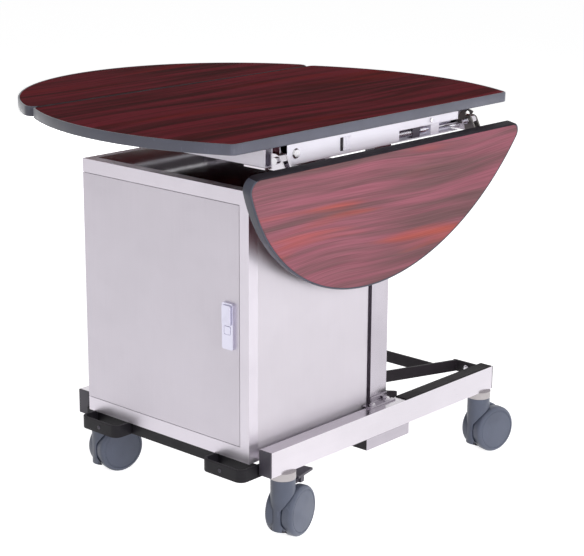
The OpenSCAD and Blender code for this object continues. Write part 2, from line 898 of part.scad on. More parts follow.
module cabinet_sides() {
    color("lightgray") both_sides()
        sandwich([inner_x, cab_x], [shell_front, cab_back], [cab_z, cab_top], 2);
}

module cabinet_top() {
    color("darkgray") sandwich([-inner_x, inner_x], [shell_front, inner_back], [ceiling, cab_top], 1);
}

module cabinet_floor() {
    color("lightgray") sandwich([-inner_x, inner_x], [shell_front, inner_back], [cab_z, floor_top], 1);
}

module cabinet_back() {
    color("lightgray") sandwich([-inner_x, inner_x], [inner_back, cab_back], [cab_z, cab_top], 2);
}

// Folded frame round the door: header, sill and one stile, with a lip for the gasket
module cabinet_front_frame() {
    y = [cab_front, shell_front];
    yv = [cab_front + front_sheet, shell_front + eps];
    lip_y = [shell_front - lip_t, shell_front];
    head_z = cab_top - header_h;
    sill_z = cab_z + sill_h;
    lip_x0 = pin_at[0] + 23;
    color("gainsboro")
        difference() {
            union() {
                block([-cab_x, cab_x], y, [head_z, cab_top]);
                block([-cab_x, cab_x], y, [cab_z, sill_z]);
                block([stile_x, cab_x], y, [sill_z, head_z]);
                block([lip_x0, stile_x], lip_y, [head_z - lip_w, head_z]);
                block([lip_x0, stile_x], lip_y, [sill_z, sill_z + lip_w]);
                block([stile_x - lip_w, stile_x], lip_y, [sill_z, head_z]);
            }
            block([-cab_x + front_sheet, cab_x - front_sheet], yv, [head_z + front_sheet, cab_top - front_sheet]);
            block([-cab_x + front_sheet, cab_x - front_sheet], yv, [cab_z + front_sheet, sill_z - front_sheet]);
            block([stile_x + front_sheet, cab_x - front_sheet], yv, [sill_z - front_sheet - eps, head_z + front_sheet + eps]);
            rod_z(pin_at[0], pin_at[1], pin_d / 2 + bore_clear, cab_z + front_sheet, cab_top - front_sheet);
        }
}

spindle_r = 6;
plate_x = stile_x - plate_in;
plate_z = cab_z + sill_h + plate_up;
spindle_z = plate_z + plate_h - 16;
button_z = plate_z + 37;
button_gap = 1;                             // all round the button, at the front of its opening
cam_t = 3;
cam_y = shell_front + 0.5;

// Door: outer pan, open at the back, and the liner that closes it
module cabinet_door() {
    color("silver") {
        difference() {
            block(door_x, [cab_front, door_back], door_z);
            block([door_x[0] + sheet_t, door_x[1] - sheet_t], [cab_front + sheet_t, door_back + eps],
                [door_z[0] + sheet_t, door_z[1] - sheet_t]);
            rod_z(pin_at[0], pin_at[1], pin_d / 2 + bore_clear, door_z[0] - eps, door_z[1] + eps);
            rod_y(plate_x, spindle_z, spindle_r + bolt_clear, cab_front - eps, door_back);
        }
        difference() {
            block([door_x[0] + sheet_t, door_x[1] - sheet_t], [door_back - sheet_t, door_back],
                [door_z[0] + sheet_t, door_z[1] - sheet_t]);
            rod_y(plate_x, spindle_z, spindle_r + bolt_clear, cab_front, door_back + eps);
        }
    }
}

// Soft gasket in four runs on the liner
module door_gasket() {
    x = [door_x[0] + 4, door_x[1] - 1];
    z = [door_z[0] + 2, door_z[1] - 2];
    y = [door_back, shell_front - lip_t - run];
    color("dimgray")
        difference() {
            block(x, y, z);
            block([x[0] + gasket_w, x[1] - gasket_w], [y[0] - eps, y[1] + eps], [z[0] + gasket_w, z[1] - gasket_w]);
        }
}

// Upper and lower hinge pin, each with a bearing washer
module door_pins() {
    reach = 9;
    color("gainsboro")
        for (s = [0, 1]) {
            seat = s == 0 ? cab_z + sill_h : cab_top - header_h;
            way = s == 0 ? 1 : -1;
            translate([pin_at[0], pin_at[1], seat - reach])
                cylinder(r = pin_d / 2, h = 2 * reach);
            translate([pin_at[0], pin_at[1], seat + way * door_gap * 0.4 - door_gap * 0.4])
                cylinder(r = pin_d / 2 + 3, h = door_gap * 0.8);
        }
}

module lock_plate() {
    corner = 4;
    x = [plate_x - plate_w / 2, plate_x + plate_w / 2];
    z = [plate_z, plate_z + plate_h];
    color("whitesmoke")
        difference() {
            slab_xz(concat(
                arc([x[1] - corner, z[1] - corner], corner, 0, 90, 6),
                arc([x[0] + corner, z[1] - corner], corner, 90, 180, 6),
                arc([x[0] + corner, z[0] + corner], corner, 180, 270, 6),
                arc([x[1] - corner, z[0] + corner], corner, 270, 360, 6)
            ), cab_front - plate_t, cab_front);
            rod_y(plate_x, spindle_z, spindle_r + bore_clear, cab_front - plate_t - eps, cab_front + eps);
            button_block(button_d / 2 + button_gap, cab_front - plate_t - eps, cab_front - plate_t + 1);
            button_block(button_d / 2 + bore_clear, cab_front - plate_t, cab_front + eps);
        }
}

// Square block with rounded corners round the button's middle
module button_block(half, y0, y1) {
    corner = 2;
    low = [plate_x - half + corner, button_z - half + corner];
    high = [plate_x + half - corner, button_z + half - corner];
    slab_xz(concat(
        arc(high, corner, 0, 90, 4),
        arc([low[0], high[1]], corner, 90, 180, 4),
        arc(low, corner, 180, 270, 4),
        arc([high[0], low[1]], corner, 270, 360, 4)
    ), y0, y1);
}

// Lever with its spindle through the door and the cam behind it
module lock_lever() {
    lever_t = 3.5;
    corner = 3;
    lever_low = button_z + button_d / 2 + 3;
    lever_top = plate_z + plate_h - 4;
    face = cab_front - plate_t - run;
    x = [plate_x - lever_w / 2 + corner, plate_x + lever_w / 2 - corner];
    color("lightgray") {
        slab_xz(concat(
            arc([x[1], lever_top - corner], corner, 0, 90, 6),
            arc([x[0], lever_top - corner], corner, 90, 180, 6),
            arc([x[0], lever_low + corner], corner, 180, 270, 6),
            arc([x[1], lever_low + corner], corner, 270, 360, 6)
        ), face - lever_t, face);
        rod_y(plate_x, spindle_z, spindle_r, face - eps, cam_y + cam_t);
        slab_xz(concat(
            arc([plate_x, spindle_z], 9, 180, 360, 12),
            [[plate_x + 7, spindle_z + cam_l], [plate_x - 7, spindle_z + cam_l]]
        ), cam_y, cam_y + cam_t);
    }
}

module lock_button() {
    color("white")
        button_block(button_d / 2, cab_front - plate_t - 0.5, cab_front - button_travel - 0.5);
}

// Shelf trays on angle runners
shelf_y = [shell_front + 10, inner_back - 8];
shelf_z0 = [for (i = [1:shelf_count]) floor_top + i * (ceiling - floor_top) / (shelf_count + 1)];

module shelf_runners() {
    color("silver") both_sides()
        for (h = shelf_z0) {
            block([inner_x - 15, inner_x], shelf_y, [h - 2, h]);
            block([inner_x - 2, inner_x], shelf_y, [h - 20, h - 2]);
        }
}

module shelves() {
    side_gap = 4;
    x = inner_x - side_gap;
    color("silver")
        for (h = shelf_z0)
            difference() {
                block([-x, x], shelf_y, [h, h + shelf_rim]);
                block([-x + sheet_t, x - sheet_t], [shelf_y[0] + sheet_t, shelf_y[1] - sheet_t],
                    [h + sheet_t, h + shelf_rim + eps]);
            }
}

// ---------------------------------------------------------------- casters
wheel_r = wheel_d / 2;
barrel_r = barrel_d / 2;
barrel_top = rail_z - collar_h - 0.5;
stem_low = barrel_top - stem_in;
tyre_gap = 2.5;
wheel_x = web_half + 1;
pedal_pin = [31, barrel_top - 14.5];
pedal_pin_r = 3;
lug_round = 5.5;
lug_half = 9;

// Collar, stem and the nut inside the rail, about the swivel axis
module caster_stem() {
    rod_z(0, 0, collar_d / 2, rail_z - collar_h, rail_z);
    rod_z(0, 0, stem_d / 2, stem_low, rail_z + rail_wall + 12);
    translate([0, 0, rail_z + rail_wall])
        cylinder(r = stem_d * 0.85, h = 9, $fn = 6);
}

// Swivelling housing: barrel, web between the wheels and, with a brake, the pedal's lug
module caster_housing(with_brake) {
    difference() {
        union() {
            rod_z(0, 0, barrel_r, wheel_r - 30, barrel_top);
            rod_x(trail, wheel_r, wheel_r - 8, -web_half, web_half);
            if (with_brake) {
                block([-lug_half, lug_half], [barrel_r - 8, pedal_pin[0]], [wheel_r + 30, pedal_pin[1] + lug_round]);
                rod_x(pedal_pin[0], pedal_pin[1], lug_round, -lug_half, lug_half);
            }
        }
        both_sides()
            rod_x(trail, wheel_r, wheel_r + tyre_gap, web_half + 0.4, web_half + wheel_w + 20);
        rod_z(0, 0, stem_d / 2 + bore_clear, stem_low - 0.5, barrel_top + eps);
        rod_x(trail, wheel_r, axle_d / 2 + bore_clear, -web_half - eps, web_half + eps);
        if (with_brake)
            rod_x(pedal_pin[0], pedal_pin[1], pedal_pin_r + bore_clear, -lug_half - eps, lug_half + eps);
    }
}

// Profile of one wheel, distance from the axis against width
function wheel_profile(round_r, recess) = concat(
    [[axle_d / 2 + bore_clear, 0], [wheel_r - 4, 0]],
    arc([wheel_r - 3, 3], 3, -90, 0, 4),
    arc([wheel_r - round_r, wheel_w - round_r], round_r, 0, 90, 6),
    [[wheel_r - 12, wheel_w - recess], [axle_d / 2 + bore_clear, wheel_w - recess]]
);

module wheel() {
    translate([wheel_x, trail, wheel_r])
        rotate([0, 90, 0])
            rotate_extrude($fn = 96)
                polygon(wheel_profile(7, 1.5));
}

// Two wheels and the axle that turns with them
module wheel_pair() {
    both_sides() wheel();
    rod_x(trail, wheel_r, axle_d / 2, -wheel_x - wheel_w + 3, wheel_x + wheel_w - 3);
}

// Pedal with its pin, ears and two shoes above the wheels
module brake_pedal() {
    plate_y = [barrel_r + 2, barrel_r + 2 + pedal_l];
    plate_low = pedal_pin[1] + 6;
    plate_zr = [plate_low, plate_low + 5];
    ear = [lug_half + run, lug_half + run + 4.5];
    block([-pedal_w / 2, pedal_w / 2], plate_y, plate_zr);
    rod_x(pedal_pin[0], pedal_pin[1], pedal_pin_r, -ear[1], ear[1]);
    both_sides() {
        block(ear, [pedal_pin[0] - 4, pedal_pin[0] + 6], [pedal_pin[1] - 4, plate_low]);
        block([ear[0], pedal_w / 2], [trail + 7, trail + 19], [wheel_d + 3.5, plate_low]);
    }
}

module at_front() {
    translate([rail_mid, front_caster_y, 0])
        rotate([0, 0, front_turn])
            children();
}

module at_rear() {
    translate([rail_mid, rear_caster_y, 0])
        rotate([0, 0, rear_turn])
            children();
}

module caster_stems() {
    color("gainsboro") both_sides() {
        at_front() caster_stem();
        at_rear() caster_stem();
    }
}

module near_front_caster() {
    color("slategray") at_front() caster_housing(true);
}

module far_front_caster() {
    color("slategray") mirror([1, 0, 0]) at_front() caster_housing(true);
}

module near_rear_caster() {
    color("slategray") at_rear() caster_housing(false);
}

module far_rear_caster() {
    color("slategray") mirror([1, 0, 0]) at_rear() caster_housing(false);
}

module near_front_wheels() {
    color("slategray") at_front() wheel_pair();
}

module far_front_wheels() {
    color("slategray") mirror([1, 0, 0]) at_front() wheel_pair();
}

module near_rear_wheels() {
    color("slategray") at_rear() wheel_pair();
}

module far_rear_wheels() {
    color("slategray") mirror([1, 0, 0]) at_rear() wheel_pair();
}

module near_brake_pedal() {
    color("dimgray") at_front() brake_pedal();
}

module far_brake_pedal() {
    color("dimgray") mirror([1, 0, 0]) at_front() brake_pedal();
}

centre_top();
centre_edging();
near_leaf_top();
near_leaf_edging();
far_leaf_top();
far_leaf_edging();
cross_rails();
side_rails();
frame_runners();
head_beam();
hinge_ears();
frame_bolts();
rail_clips();
near_leaf_brackets();
near_leaf_screws();
far_leaf_brackets();
far_leaf_screws();
lock_guides();
near_lock_bolt();
near_lock_knob();
near_lock_spring();
far_lock_bolt();
far_lock_knob();
far_lock_spring();
posts();
post_feet();
post_gussets();
leaf_buffers();
base_rails();
rail_end_caps();
rail_pads();
front_strap();
cross_channel();
rear_braces();
cabinet_bearers();
base_bolts();
cabinet_sides();
cabinet_top();
cabinet_floor();
cabinet_back();
cabinet_front_frame();
cabinet_door();
door_gasket();
door_pins();
lock_plate();
lock_lever();
lock_button();
shelf_runners();
shelves();
caster_stems();
near_front_caster();
far_front_caster();
near_rear_caster();
far_rear_caster();
near_front_wheels();
far_front_wheels();
near_rear_wheels();
far_rear_wheels();
near_brake_pedal();
far_brake_pedal();
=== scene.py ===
"""The looks of the room service table: its finishes, finer shapes, floor, light and camera. Metres."""
import json
import math

import bmesh
import bpy
from mathutils import Matrix, Vector

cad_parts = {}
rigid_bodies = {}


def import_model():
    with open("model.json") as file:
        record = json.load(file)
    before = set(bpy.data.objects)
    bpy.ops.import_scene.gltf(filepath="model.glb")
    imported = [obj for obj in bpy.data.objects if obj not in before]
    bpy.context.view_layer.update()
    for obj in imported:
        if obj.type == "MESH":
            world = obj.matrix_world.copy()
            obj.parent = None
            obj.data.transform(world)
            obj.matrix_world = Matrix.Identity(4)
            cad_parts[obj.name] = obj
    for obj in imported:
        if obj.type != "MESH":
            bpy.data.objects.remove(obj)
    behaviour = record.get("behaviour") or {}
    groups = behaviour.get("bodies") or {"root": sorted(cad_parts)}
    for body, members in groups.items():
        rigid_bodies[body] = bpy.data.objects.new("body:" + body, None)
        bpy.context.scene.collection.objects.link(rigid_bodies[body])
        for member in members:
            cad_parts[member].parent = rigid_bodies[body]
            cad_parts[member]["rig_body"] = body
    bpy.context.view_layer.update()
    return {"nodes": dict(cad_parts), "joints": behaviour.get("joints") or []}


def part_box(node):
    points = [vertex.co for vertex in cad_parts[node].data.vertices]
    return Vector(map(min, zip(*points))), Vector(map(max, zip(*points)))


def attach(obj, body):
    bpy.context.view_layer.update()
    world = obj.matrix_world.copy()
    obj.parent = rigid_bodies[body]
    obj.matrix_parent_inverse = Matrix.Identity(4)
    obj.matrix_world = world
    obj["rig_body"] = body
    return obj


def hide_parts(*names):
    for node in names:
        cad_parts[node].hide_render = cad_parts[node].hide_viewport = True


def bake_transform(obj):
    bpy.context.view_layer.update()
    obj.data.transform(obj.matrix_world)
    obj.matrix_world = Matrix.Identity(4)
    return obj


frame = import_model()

scene = bpy.context.scene
nodes = frame["nodes"]
MM = 0.001

# ---------------------------------------------------------------- camera
PICTURE_SIZE = (584, 556)           # width and height of the picture in pixels
FOCAL_PIXELS = 1668.97              # focal length in pixels
VIEW_CENTRE = (325.93, 279.57)      # pixel that the lens axis meets
YAW, PITCH, ROLL = (math.radians(a) for a in (40.98, 15.46, 0.63))
CAMERA_AT = Vector((2.22487, -2.41188, 1.31613))
SENSOR_WIDTH = 36.0                 # in mm, as Blender's lens is


def place_camera():
    """The photograph's point of view."""
    forward = Vector((-math.sin(YAW) * math.cos(PITCH), math.cos(YAW) * math.cos(PITCH), -math.sin(PITCH)))
    level = Vector((math.cos(YAW), math.sin(YAW), 0))
    upright = level.cross(forward)
    right = math.cos(ROLL) * level + math.sin(ROLL) * upright
    up = math.cos(ROLL) * upright - math.sin(ROLL) * level
    data = bpy.data.cameras.new("camera")
    width, height = PICTURE_SIZE
    data.sensor_width = SENSOR_WIDTH
    data.lens = FOCAL_PIXELS * SENSOR_WIDTH / width
    data.shift_x = (width / 2 - VIEW_CENTRE[0]) / width
    data.shift_y = (VIEW_CENTRE[1] - height / 2) / width
    camera = bpy.data.objects.new("camera", data)
    camera.matrix_world = Matrix.Translation(CAMERA_AT) @ Matrix((right, up, -forward)).transposed().to_4x4()
    scene.collection.objects.link(camera)
    scene.camera = camera


# ---------------------------------------------------------------- node trees
def link_or_set(tree, socket, value):
    """Links a socket to another one, or gives it a plain value."""
    if isinstance(value, bpy.types.NodeSocket):
        tree.links.new(value, socket)
    else:
        socket.default_value = value


def add(tree, kind, inputs=(), **settings):
    """Adds a node. Inputs go by socket name in a dict, or in order in a tuple."""
    node = tree.nodes.new(kind)
    for name, value in settings.items():
        setattr(node, name, value)
    pairs = inputs.items() if isinstance(inputs, dict) else enumerate(inputs)
    for key, value in pairs:
        if value is not None:
            link_or_set(tree, node.inputs[key], value)
    return node


def calc(tree, operation, *values):
    return add(tree, "ShaderNodeMath", values, operation=operation).outputs[0]


def remap(tree, value, low, high, to_low=0.0, to_high=1.0):
    """A smooth change from to_low to to_high while the value goes from low to high."""
    inputs = {"Value": value, "From Min": low, "From Max": high, "To Min": to_low, "To Max": to_high}
    return add(tree, "ShaderNodeMapRange", inputs, interpolation_type="SMOOTHSTEP").outputs[0]


def mix(tree, factor, a, b, blend="MIX"):
    """A mix of two colours. The node names its sockets alike for every type, so they go by place here."""
    node = add(tree, "ShaderNodeMix", (), data_type="RGBA", blend_type=blend)
    for key, value in ((0, factor), (6, a), (7, b)):
        link_or_set(tree, node.inputs[key], value)
    return node.outputs[2]


def stretch(tree, vector, scale):
    return add(tree, "ShaderNodeVectorMath", (vector, scale), operation="MULTIPLY").outputs[0]


def noise(tree, vector, scale=1.0, detail=2.0, roughness=0.5):
    inputs = {"Vector": vector, "Scale": scale, "Detail": detail, "Roughness": roughness}
    return add(tree, "ShaderNodeTexNoise", inputs).outputs[0]


def bump(tree, height, strength, distance):
    inputs = {"Height": height, "Strength": strength, "Distance": distance}
    return add(tree, "ShaderNodeBump", inputs).outputs[0]


def new_group(name, kind, inputs, outputs):
    """A node group with named sockets; returns it with the sockets that it is given and that it fills.

    Inputs are (name, socket type, default or None), outputs are (name, socket type).
    """
    tree = bpy.data.node_groups.new(name, kind)
    for label, socket_type, default in inputs:
        socket = tree.interface.new_socket(label, in_out="INPUT", socket_type=socket_type)
        if default is not None:
            socket.default_value = default
    for label, socket_type in outputs:
        tree.interface.new_socket(label, in_out="OUTPUT", socket_type=socket_type)
    return tree, tree.nodes.new("NodeGroupInput").outputs, tree.nodes.new("NodeGroupOutput").inputs


def srgb(r, g, b):
    """A colour given as 0 to 255 on the screen, in the shader's linear values."""
    def linear(c):
        c /= 255
        return c / 12.92 if c <= 0.04045 else ((c + 0.055) / 1.055) ** 2.4
    return (linear(r), linear(g), linear(b), 1.0)


# ---------------------------------------------------------------- shared effects
def make_wood_print():
    """Printed mahogany along Y: dark and red bands, brighter glow, dark veins and fine fibres."""
    tree, given, out = new_group("Mahogany print", "ShaderNodeTree", (
        ("Vector", "NodeSocketVector", None),
        ("Dark", "NodeSocketColor", None),
        ("Red", "NodeSocketColor", None),
        ("Bright", "NodeSocketColor", None),
        ("Figure", "NodeSocketFloat", 0.05),
    ), (("Color", "NodeSocketColor"), ("Fibre", "NodeSocketFloat")))
    plan = given["Vector"]
    parts = add(tree, "ShaderNodeSeparateXYZ", (plan,))
    across, along = parts.outputs[0], parts.outputs[1]
    sway = noise(tree, stretch(tree, plan, (3.2, 1.5, 1)), detail=1.5, roughness=0.4)
    swing = calc(tree, "MULTIPLY", calc(tree, "SUBTRACT", sway, 0.5), given["Figure"])
    shifted = calc(tree, "ADD", across, swing)

    def streaks(per_metre_across, per_metre_along, layer, detail=3.0):
        x = calc(tree, "MULTIPLY", shifted, per_metre_across)
        y = calc(tree, "MULTIPLY", along, per_metre_along)
        place = add(tree, "ShaderNodeCombineXYZ", (x, y, layer)).outputs[0]
        return noise(tree, place, detail=detail, roughness=0.6)

    bands = remap(tree, streaks(26, 1.1, 3.0), 0.36, 0.62)
    veins = remap(tree, streaks(60, 1.6, 11.0), 0.52, 0.68)
    glow = remap(tree, streaks(16, 1.5, 29.0, 2.0), 0.54, 0.70)
    fibre = streaks(420, 5, 41.0, 2.0)
    colour = mix(tree, bands, given["Dark"], given["Red"])
    colour = mix(tree, calc(tree, "MULTIPLY", glow, 0.75), colour, given["Bright"])
    colour = mix(tree, calc(tree, "MULTIPLY", veins, 0.55), colour, given["Dark"])
    depth = remap(tree, fibre, 0.3, 0.7, 0.86, 1.1)
    colour = mix(tree, 1.0, colour, depth, "MULTIPLY")
    tree.links.new(colour, out["Color"])
    tree.links.new(fibre, out["Fibre"])
    return tree


def make_brushed_lines():
    """Fine lines of a brushed metal along one axis, and the soft clouds of a rolled sheet."""
    tree, given, out = new_group("Brushed lines", "ShaderNodeTree", (
        ("Vector", "NodeSocketVector", None), ("Stretch", "NodeSocketVector", (900, 900, 6)),
    ), (("Lines", "NodeSocketFloat"), ("Clouds", "NodeSocketFloat")))
    lines = noise(tree, stretch(tree, given["Vector"], given["Stretch"]), detail=2.0, roughness=0.7)
    clouds = noise(tree, given["Vector"], scale=5.0, detail=3.0, roughness=0.55)
    tree.links.new(lines, out["Lines"])
    tree.links.new(clouds, out["Clouds"])
    return tree


def make_scuffs():
    """Marks of handling: short scratches and dull rubbed patches."""
    tree, given, out = new_group("Handling scuffs", "ShaderNodeTree", (
        ("Vector", "NodeSocketVector", None), ("Size", "NodeSocketFloat", 1.0),
    ), (("Scratches", "NodeSocketFloat"), ("Rubbed", "NodeSocketFloat")))
    place = add(tree, "ShaderNodeVectorMath", {0: given["Vector"], "Scale": given["Size"]},
                operation="SCALE").outputs[0]
    turned = add(tree, "ShaderNodeMapping", {
        "Vector": place, "Rotation": (0.4, 0.7, 0.5), "Scale": (40, 700, 40)}).outputs[0]
    scratches = remap(tree, noise(tree, turned, detail=1.0), 0.70, 0.76)
    rubbed = remap(tree, noise(tree, place, scale=22.0, detail=4.0, roughness=0.6), 0.45, 0.75)
    tree.links.new(scratches, out["Scratches"])
    tree.links.new(rubbed, out["Rubbed"])
    return tree


def make_moulded_grain():
    """Marks of handling: short scratches and dull rubbed patches."""
    tree, given, out = new_group("Moulded grain", "ShaderNodeTree", (
        ("Vector", "NodeSocketVector", None), ("Grain", "NodeSocketFloat", 900.0),
    ), (("Pebble", "NodeSocketFloat"), ("Shade", "NodeSocketFloat")))
    tree.links.new(noise(tree, given["Vector"], scale=given["Grain"], detail=2.0), out["Pebble"])
    tree.links.new(noise(tree, given["Vector"], scale=14.0, detail=3.0), out["Shade"])
    return tree


WOOD_PRINT = make_wood_print()
BRUSHED_LINES = make_brushed_lines()
SCUFFS = make_scuffs()
MOULDED_GRAIN = make_moulded_grain()


def place_group(tree, group, inputs):
    """Uses a shared effect in a material; returns what the effect gives."""
    node = tree.nodes.new("ShaderNodeGroup")
    node.node_tree = group
    for name, value in inputs.items():
        link_or_set(tree, node.inputs[name], value)
    return node.outputs


# ---------------------------------------------------------------- materials
def new_material(name, **plain):
    """A material with its Principled shader's plain sockets set.

    Returns it with its tree, its shader's sockets and the Object coordinates.
    """
    material = bpy.data.materials.new(name)
    material.use_nodes = True
    tree = material.node_tree
    shader = tree.nodes["Principled BSDF"]
    for key, value in plain.items():
        shader.inputs[key.replace("_", " ")].default_value = value
    place = add(tree, "ShaderNodeTexCoord").outputs["Object"]
    return material, tree, shader.inputs, place


def dimmed(colour, share):
    """A share of a colour; above 1 it is brighter."""
    return tuple(c * share for c in colour[:3]) + (1.0,)


def laminate(name, dark, red, bright):
    """Printed laminate, nearly matt, placed by the board's own plan coordinates."""
    material, tree, sockets, _ = new_material(name, Specular_IOR_Level=0.0005)
    plan = add(tree, "ShaderNodeUVMap", uv_map="plan").outputs[0]
    wood = place_group(tree, WOOD_PRINT, {
        "Vector": plan, "Dark": dark, "Red": red, "Bright": bright, "Figure": 0.11})
    scuffs = place_group(tree, SCUFFS, {"Vector": plan, "Size": 0.6})
    tree.links.new(wood["Color"], sockets["Base Color"])
    rough = calc(tree, "ADD", remap(tree, wood["Fibre"], 0.3, 0.7, 0.42, 0.5),
                 calc(tree, "MULTIPLY", scuffs["Rubbed"], 0.06))
    tree.links.new(rough, sockets["Roughness"])
    tree.links.new(bump(tree, wood["Fibre"], 0.12, 0.0002), sockets["Normal"])
    return material


ALONG_LINES = 6.0               # brushed lines: changes per metre along them
ACROSS_LINES = 900.0            # and across them


def steel(name, colour, roughness, run, lines=0.06, clouds=0.05, relief=0.08, metallic=1.0):
    """Stainless steel, brushed along the axis named by run."""
    material, tree, sockets, place = new_material(name, Metallic=metallic)
    scale = tuple(ALONG_LINES if axis == run else ACROSS_LINES for axis in "xyz")
    marks = place_group(tree, BRUSHED_LINES, {"Vector": place, "Stretch": scale})
    scuffs = place_group(tree, SCUFFS, {"Vector": place, "Size": 1.0})
    tone = mix(tree, remap(tree, marks["Clouds"], 0.3, 0.7), dimmed(colour, 1 - clouds), colour)
    tone = mix(tree, calc(tree, "MULTIPLY", remap(tree, marks["Lines"], 0.35, 0.75), lines), tone,
               dimmed(colour, 0.6))
    tree.links.new(tone, sockets["Base Color"])
    rough = calc(tree, "ADD", remap(tree, marks["Lines"], 0.2, 0.8, roughness * 0.8, roughness * 1.2),
                 calc(tree, "MULTIPLY", scuffs["Rubbed"], roughness * 0.25))
    tree.links.new(rough, sockets["Roughness"])
    tree.links.new(bump(tree, marks["Lines"], relief, 0.0001), sockets["Normal"])
    return material


def chrome(name, colour, roughness):
    """Bright plated metal with faint wiping marks."""
    material, tree, sockets, place = new_material(name, Metallic=1.0)
    scuffs = place_group(tree, SCUFFS, {"Vector": place, "Size": 1.6})
    tree.links.new(mix(tree, calc(tree, "MULTIPLY", scuffs["Rubbed"], 0.25), colour, dimmed(colour, 0.78)),
                   sockets["Base Color"])
    tree.links.new(calc(tree, "ADD", calc(tree, "MULTIPLY", scuffs["Rubbed"], 0.09), roughness),
                   sockets["Roughness"])
    tree.links.new(bump(tree, scuffs["Scratches"], 0.05, 0.0001), sockets["Normal"])
    return material


def moulded(name, colour, roughness, grain=900.0, relief=0.12, **plain):
    """Plastic, rubber or paint with a moulded or sprayed grain and rubbed places."""
    material, tree, sockets, place = new_material(name, **plain)
    skin = place_group(tree, MOULDED_GRAIN, {"Vector": place, "Grain": grain})
    scuffs = place_group(tree, SCUFFS, {"Vector": place, "Size": 1.0})
    tone = mix(tree, remap(tree, skin["Shade"], 0.3, 0.7), dimmed(colour, 0.88), dimmed(colour, 1.08))
    tone = mix(tree, calc(tree, "MULTIPLY", scuffs["Scratches"], 0.35), tone, dimmed(colour, 1.7))
    tree.links.new(tone, sockets["Base Color"])
    tree.links.new(calc(tree, "ADD", calc(tree, "MULTIPLY", scuffs["Rubbed"], 0.12), roughness),
                   sockets["Roughness"])
    tree.links.new(bump(tree, skin["Pebble"], relief, 0.0003), sockets["Normal"])
    return material


FINISH = {
    "laminate": laminate("mahogany laminate", srgb(80, 42, 43), srgb(138, 54, 64), srgb(140, 50, 50)),
    # The near leaf's print is the top's laminate painted lighter and pinker: painted light for the lamp and
    # sheen on the hanging leaf.
    "leaf_laminate_painted_light": laminate("leaf laminate with painted light", srgb(120, 90, 93), srgb(160, 100, 113), srgb(192, 96, 84)),
    "backing": moulded("dark backing sheet", srgb(44, 34, 34), 0.55, grain=500.0),
    "edging": moulded("slate edging", srgb(88, 89, 103), 0.3, grain=1400.0, relief=0.03),
    # The near leaf's edging is the slate edging painted darker: painted shade on the hanging leaf's rim.
    "leaf_edging": moulded("leaf edging with painted shade", srgb(66, 68, 82), 0.34, grain=1400.0, relief=0.03,
                           Specular_IOR_Level=0.4),
    # Near black: painted shade in the gap along a fold.
    "fold_edging_painted_shade": moulded("fold edging in painted shade", srgb(40, 36, 42), 0.5, grain=1400.0, relief=0.04,
                           Specular_IOR_Level=0.05),
    "satin_x": steel("satin rail across", srgb(242, 239, 250), 0.42, "x", metallic=0.3),
    "satin_y": steel("satin rail along", srgb(242, 239, 250), 0.42, "y", metallic=0.3),
    # Painted shade for the rear half of each leaf bracket.
    "bracket_painted_shade": steel("bracket steel in painted shade", srgb(124, 120, 118), 0.4, "y", metallic=0.8),
    "rail_x": steel("bright steel across", srgb(228, 224, 234), 0.2, "x"),
    "rail_y": steel("bright steel along", srgb(217, 212, 219), 0.2, "y", clouds=0.1),
    "post": steel("polished steel upright", srgb(194, 188, 197), 0.2, "z", clouds=0.18),
    "front_sheet": steel("brushed front steel", srgb(216, 210, 219), 0.34, "z", lines=0.02, relief=0.02,
                         metallic=0.85),
    "door_sheet": steel("brushed door steel", srgb(205, 199, 208), 0.34, "z", lines=0.02, relief=0.02,
                        metallic=0.75),
    "sheet": steel("brushed cabinet steel", srgb(206, 200, 208), 0.34, "z", lines=0.02, relief=0.02,
                   metallic=0.55),
    # The cabinet's steel top painted nearly black: painted shade under the table top.
    "lid": steel("cabinet top steel in painted shade", srgb(34, 30, 37), 0.08, "x", lines=0.03, relief=0.01),
    "inside": steel("cabinet inside", srgb(190, 188, 192), 0.36, "z"),
    "fastener": chrome("plated fasteners", srgb(214, 211, 216), 0.16),
    "chrome": chrome("lock chrome", srgb(232, 230, 240), 0.12),
    "stem": chrome("caster collar steel", srgb(176, 171, 172), 0.3),
    "satin_chrome": chrome("satin lock chrome", srgb(212, 210, 226), 0.3),
    "dark": moulded("dark coated steel", srgb(72, 68, 78), 0.42, grain=700.0, relief=0.1),
    # Dark paint, darkened further: partly the bar's own dark paint, partly painted shade under the cabinet's
    # front edge.
    "strap": moulded("dark painted bar with painted shade", srgb(24, 22, 27), 0.46, grain=700.0, relief=0.1,
                     Specular_IOR_Level=0.25),
    "black": moulded("black coated steel", srgb(36, 31, 36), 0.45, grain=700.0, relief=0.1,
                     Specular_IOR_Level=0.25),
    "rubber": moulded("black rubber", srgb(30, 27, 30), 0.62, grain=600.0, relief=0.25,
                      Specular_IOR_Level=0.2),
    "caster": moulded("caster grey", srgb(92, 98, 115), 0.36, grain=1200.0, relief=0.05),
    "tread": moulded("caster tread", srgb(74, 80, 92), 0.55, grain=800.0, relief=0.15),
}

# ---------------------------------------------------------------- shaping
SHARP = math.radians(32)        # edges sharper than this are kept crisp or rounded
FLAT = math.radians(0.4)        # faces that differ less than this are joined
SAME_POINT = 0.005 * MM         # points nearer than this are one


def link(name, mesh, *finishes):
    """A new object at the origin with its finishes in order."""
    obj = bpy.data.objects.new(name, mesh)
    scene.collection.objects.link(obj)
    mesh.materials.clear()
    for finish in finishes:
        mesh.materials.append(FINISH[finish])
    return obj


def shade(mesh):
    """Smooth faces, with edges sharper than SHARP kept crisp."""
    bm = bmesh.new()
    bm.from_mesh(mesh)
    for face in bm.faces:
        face.smooth = True
    for edge in bm.edges:
        edge.smooth = len(edge.link_faces) == 2 and edge.calc_face_angle(0) < SHARP
    bm.to_mesh(mesh)
    bm.free()


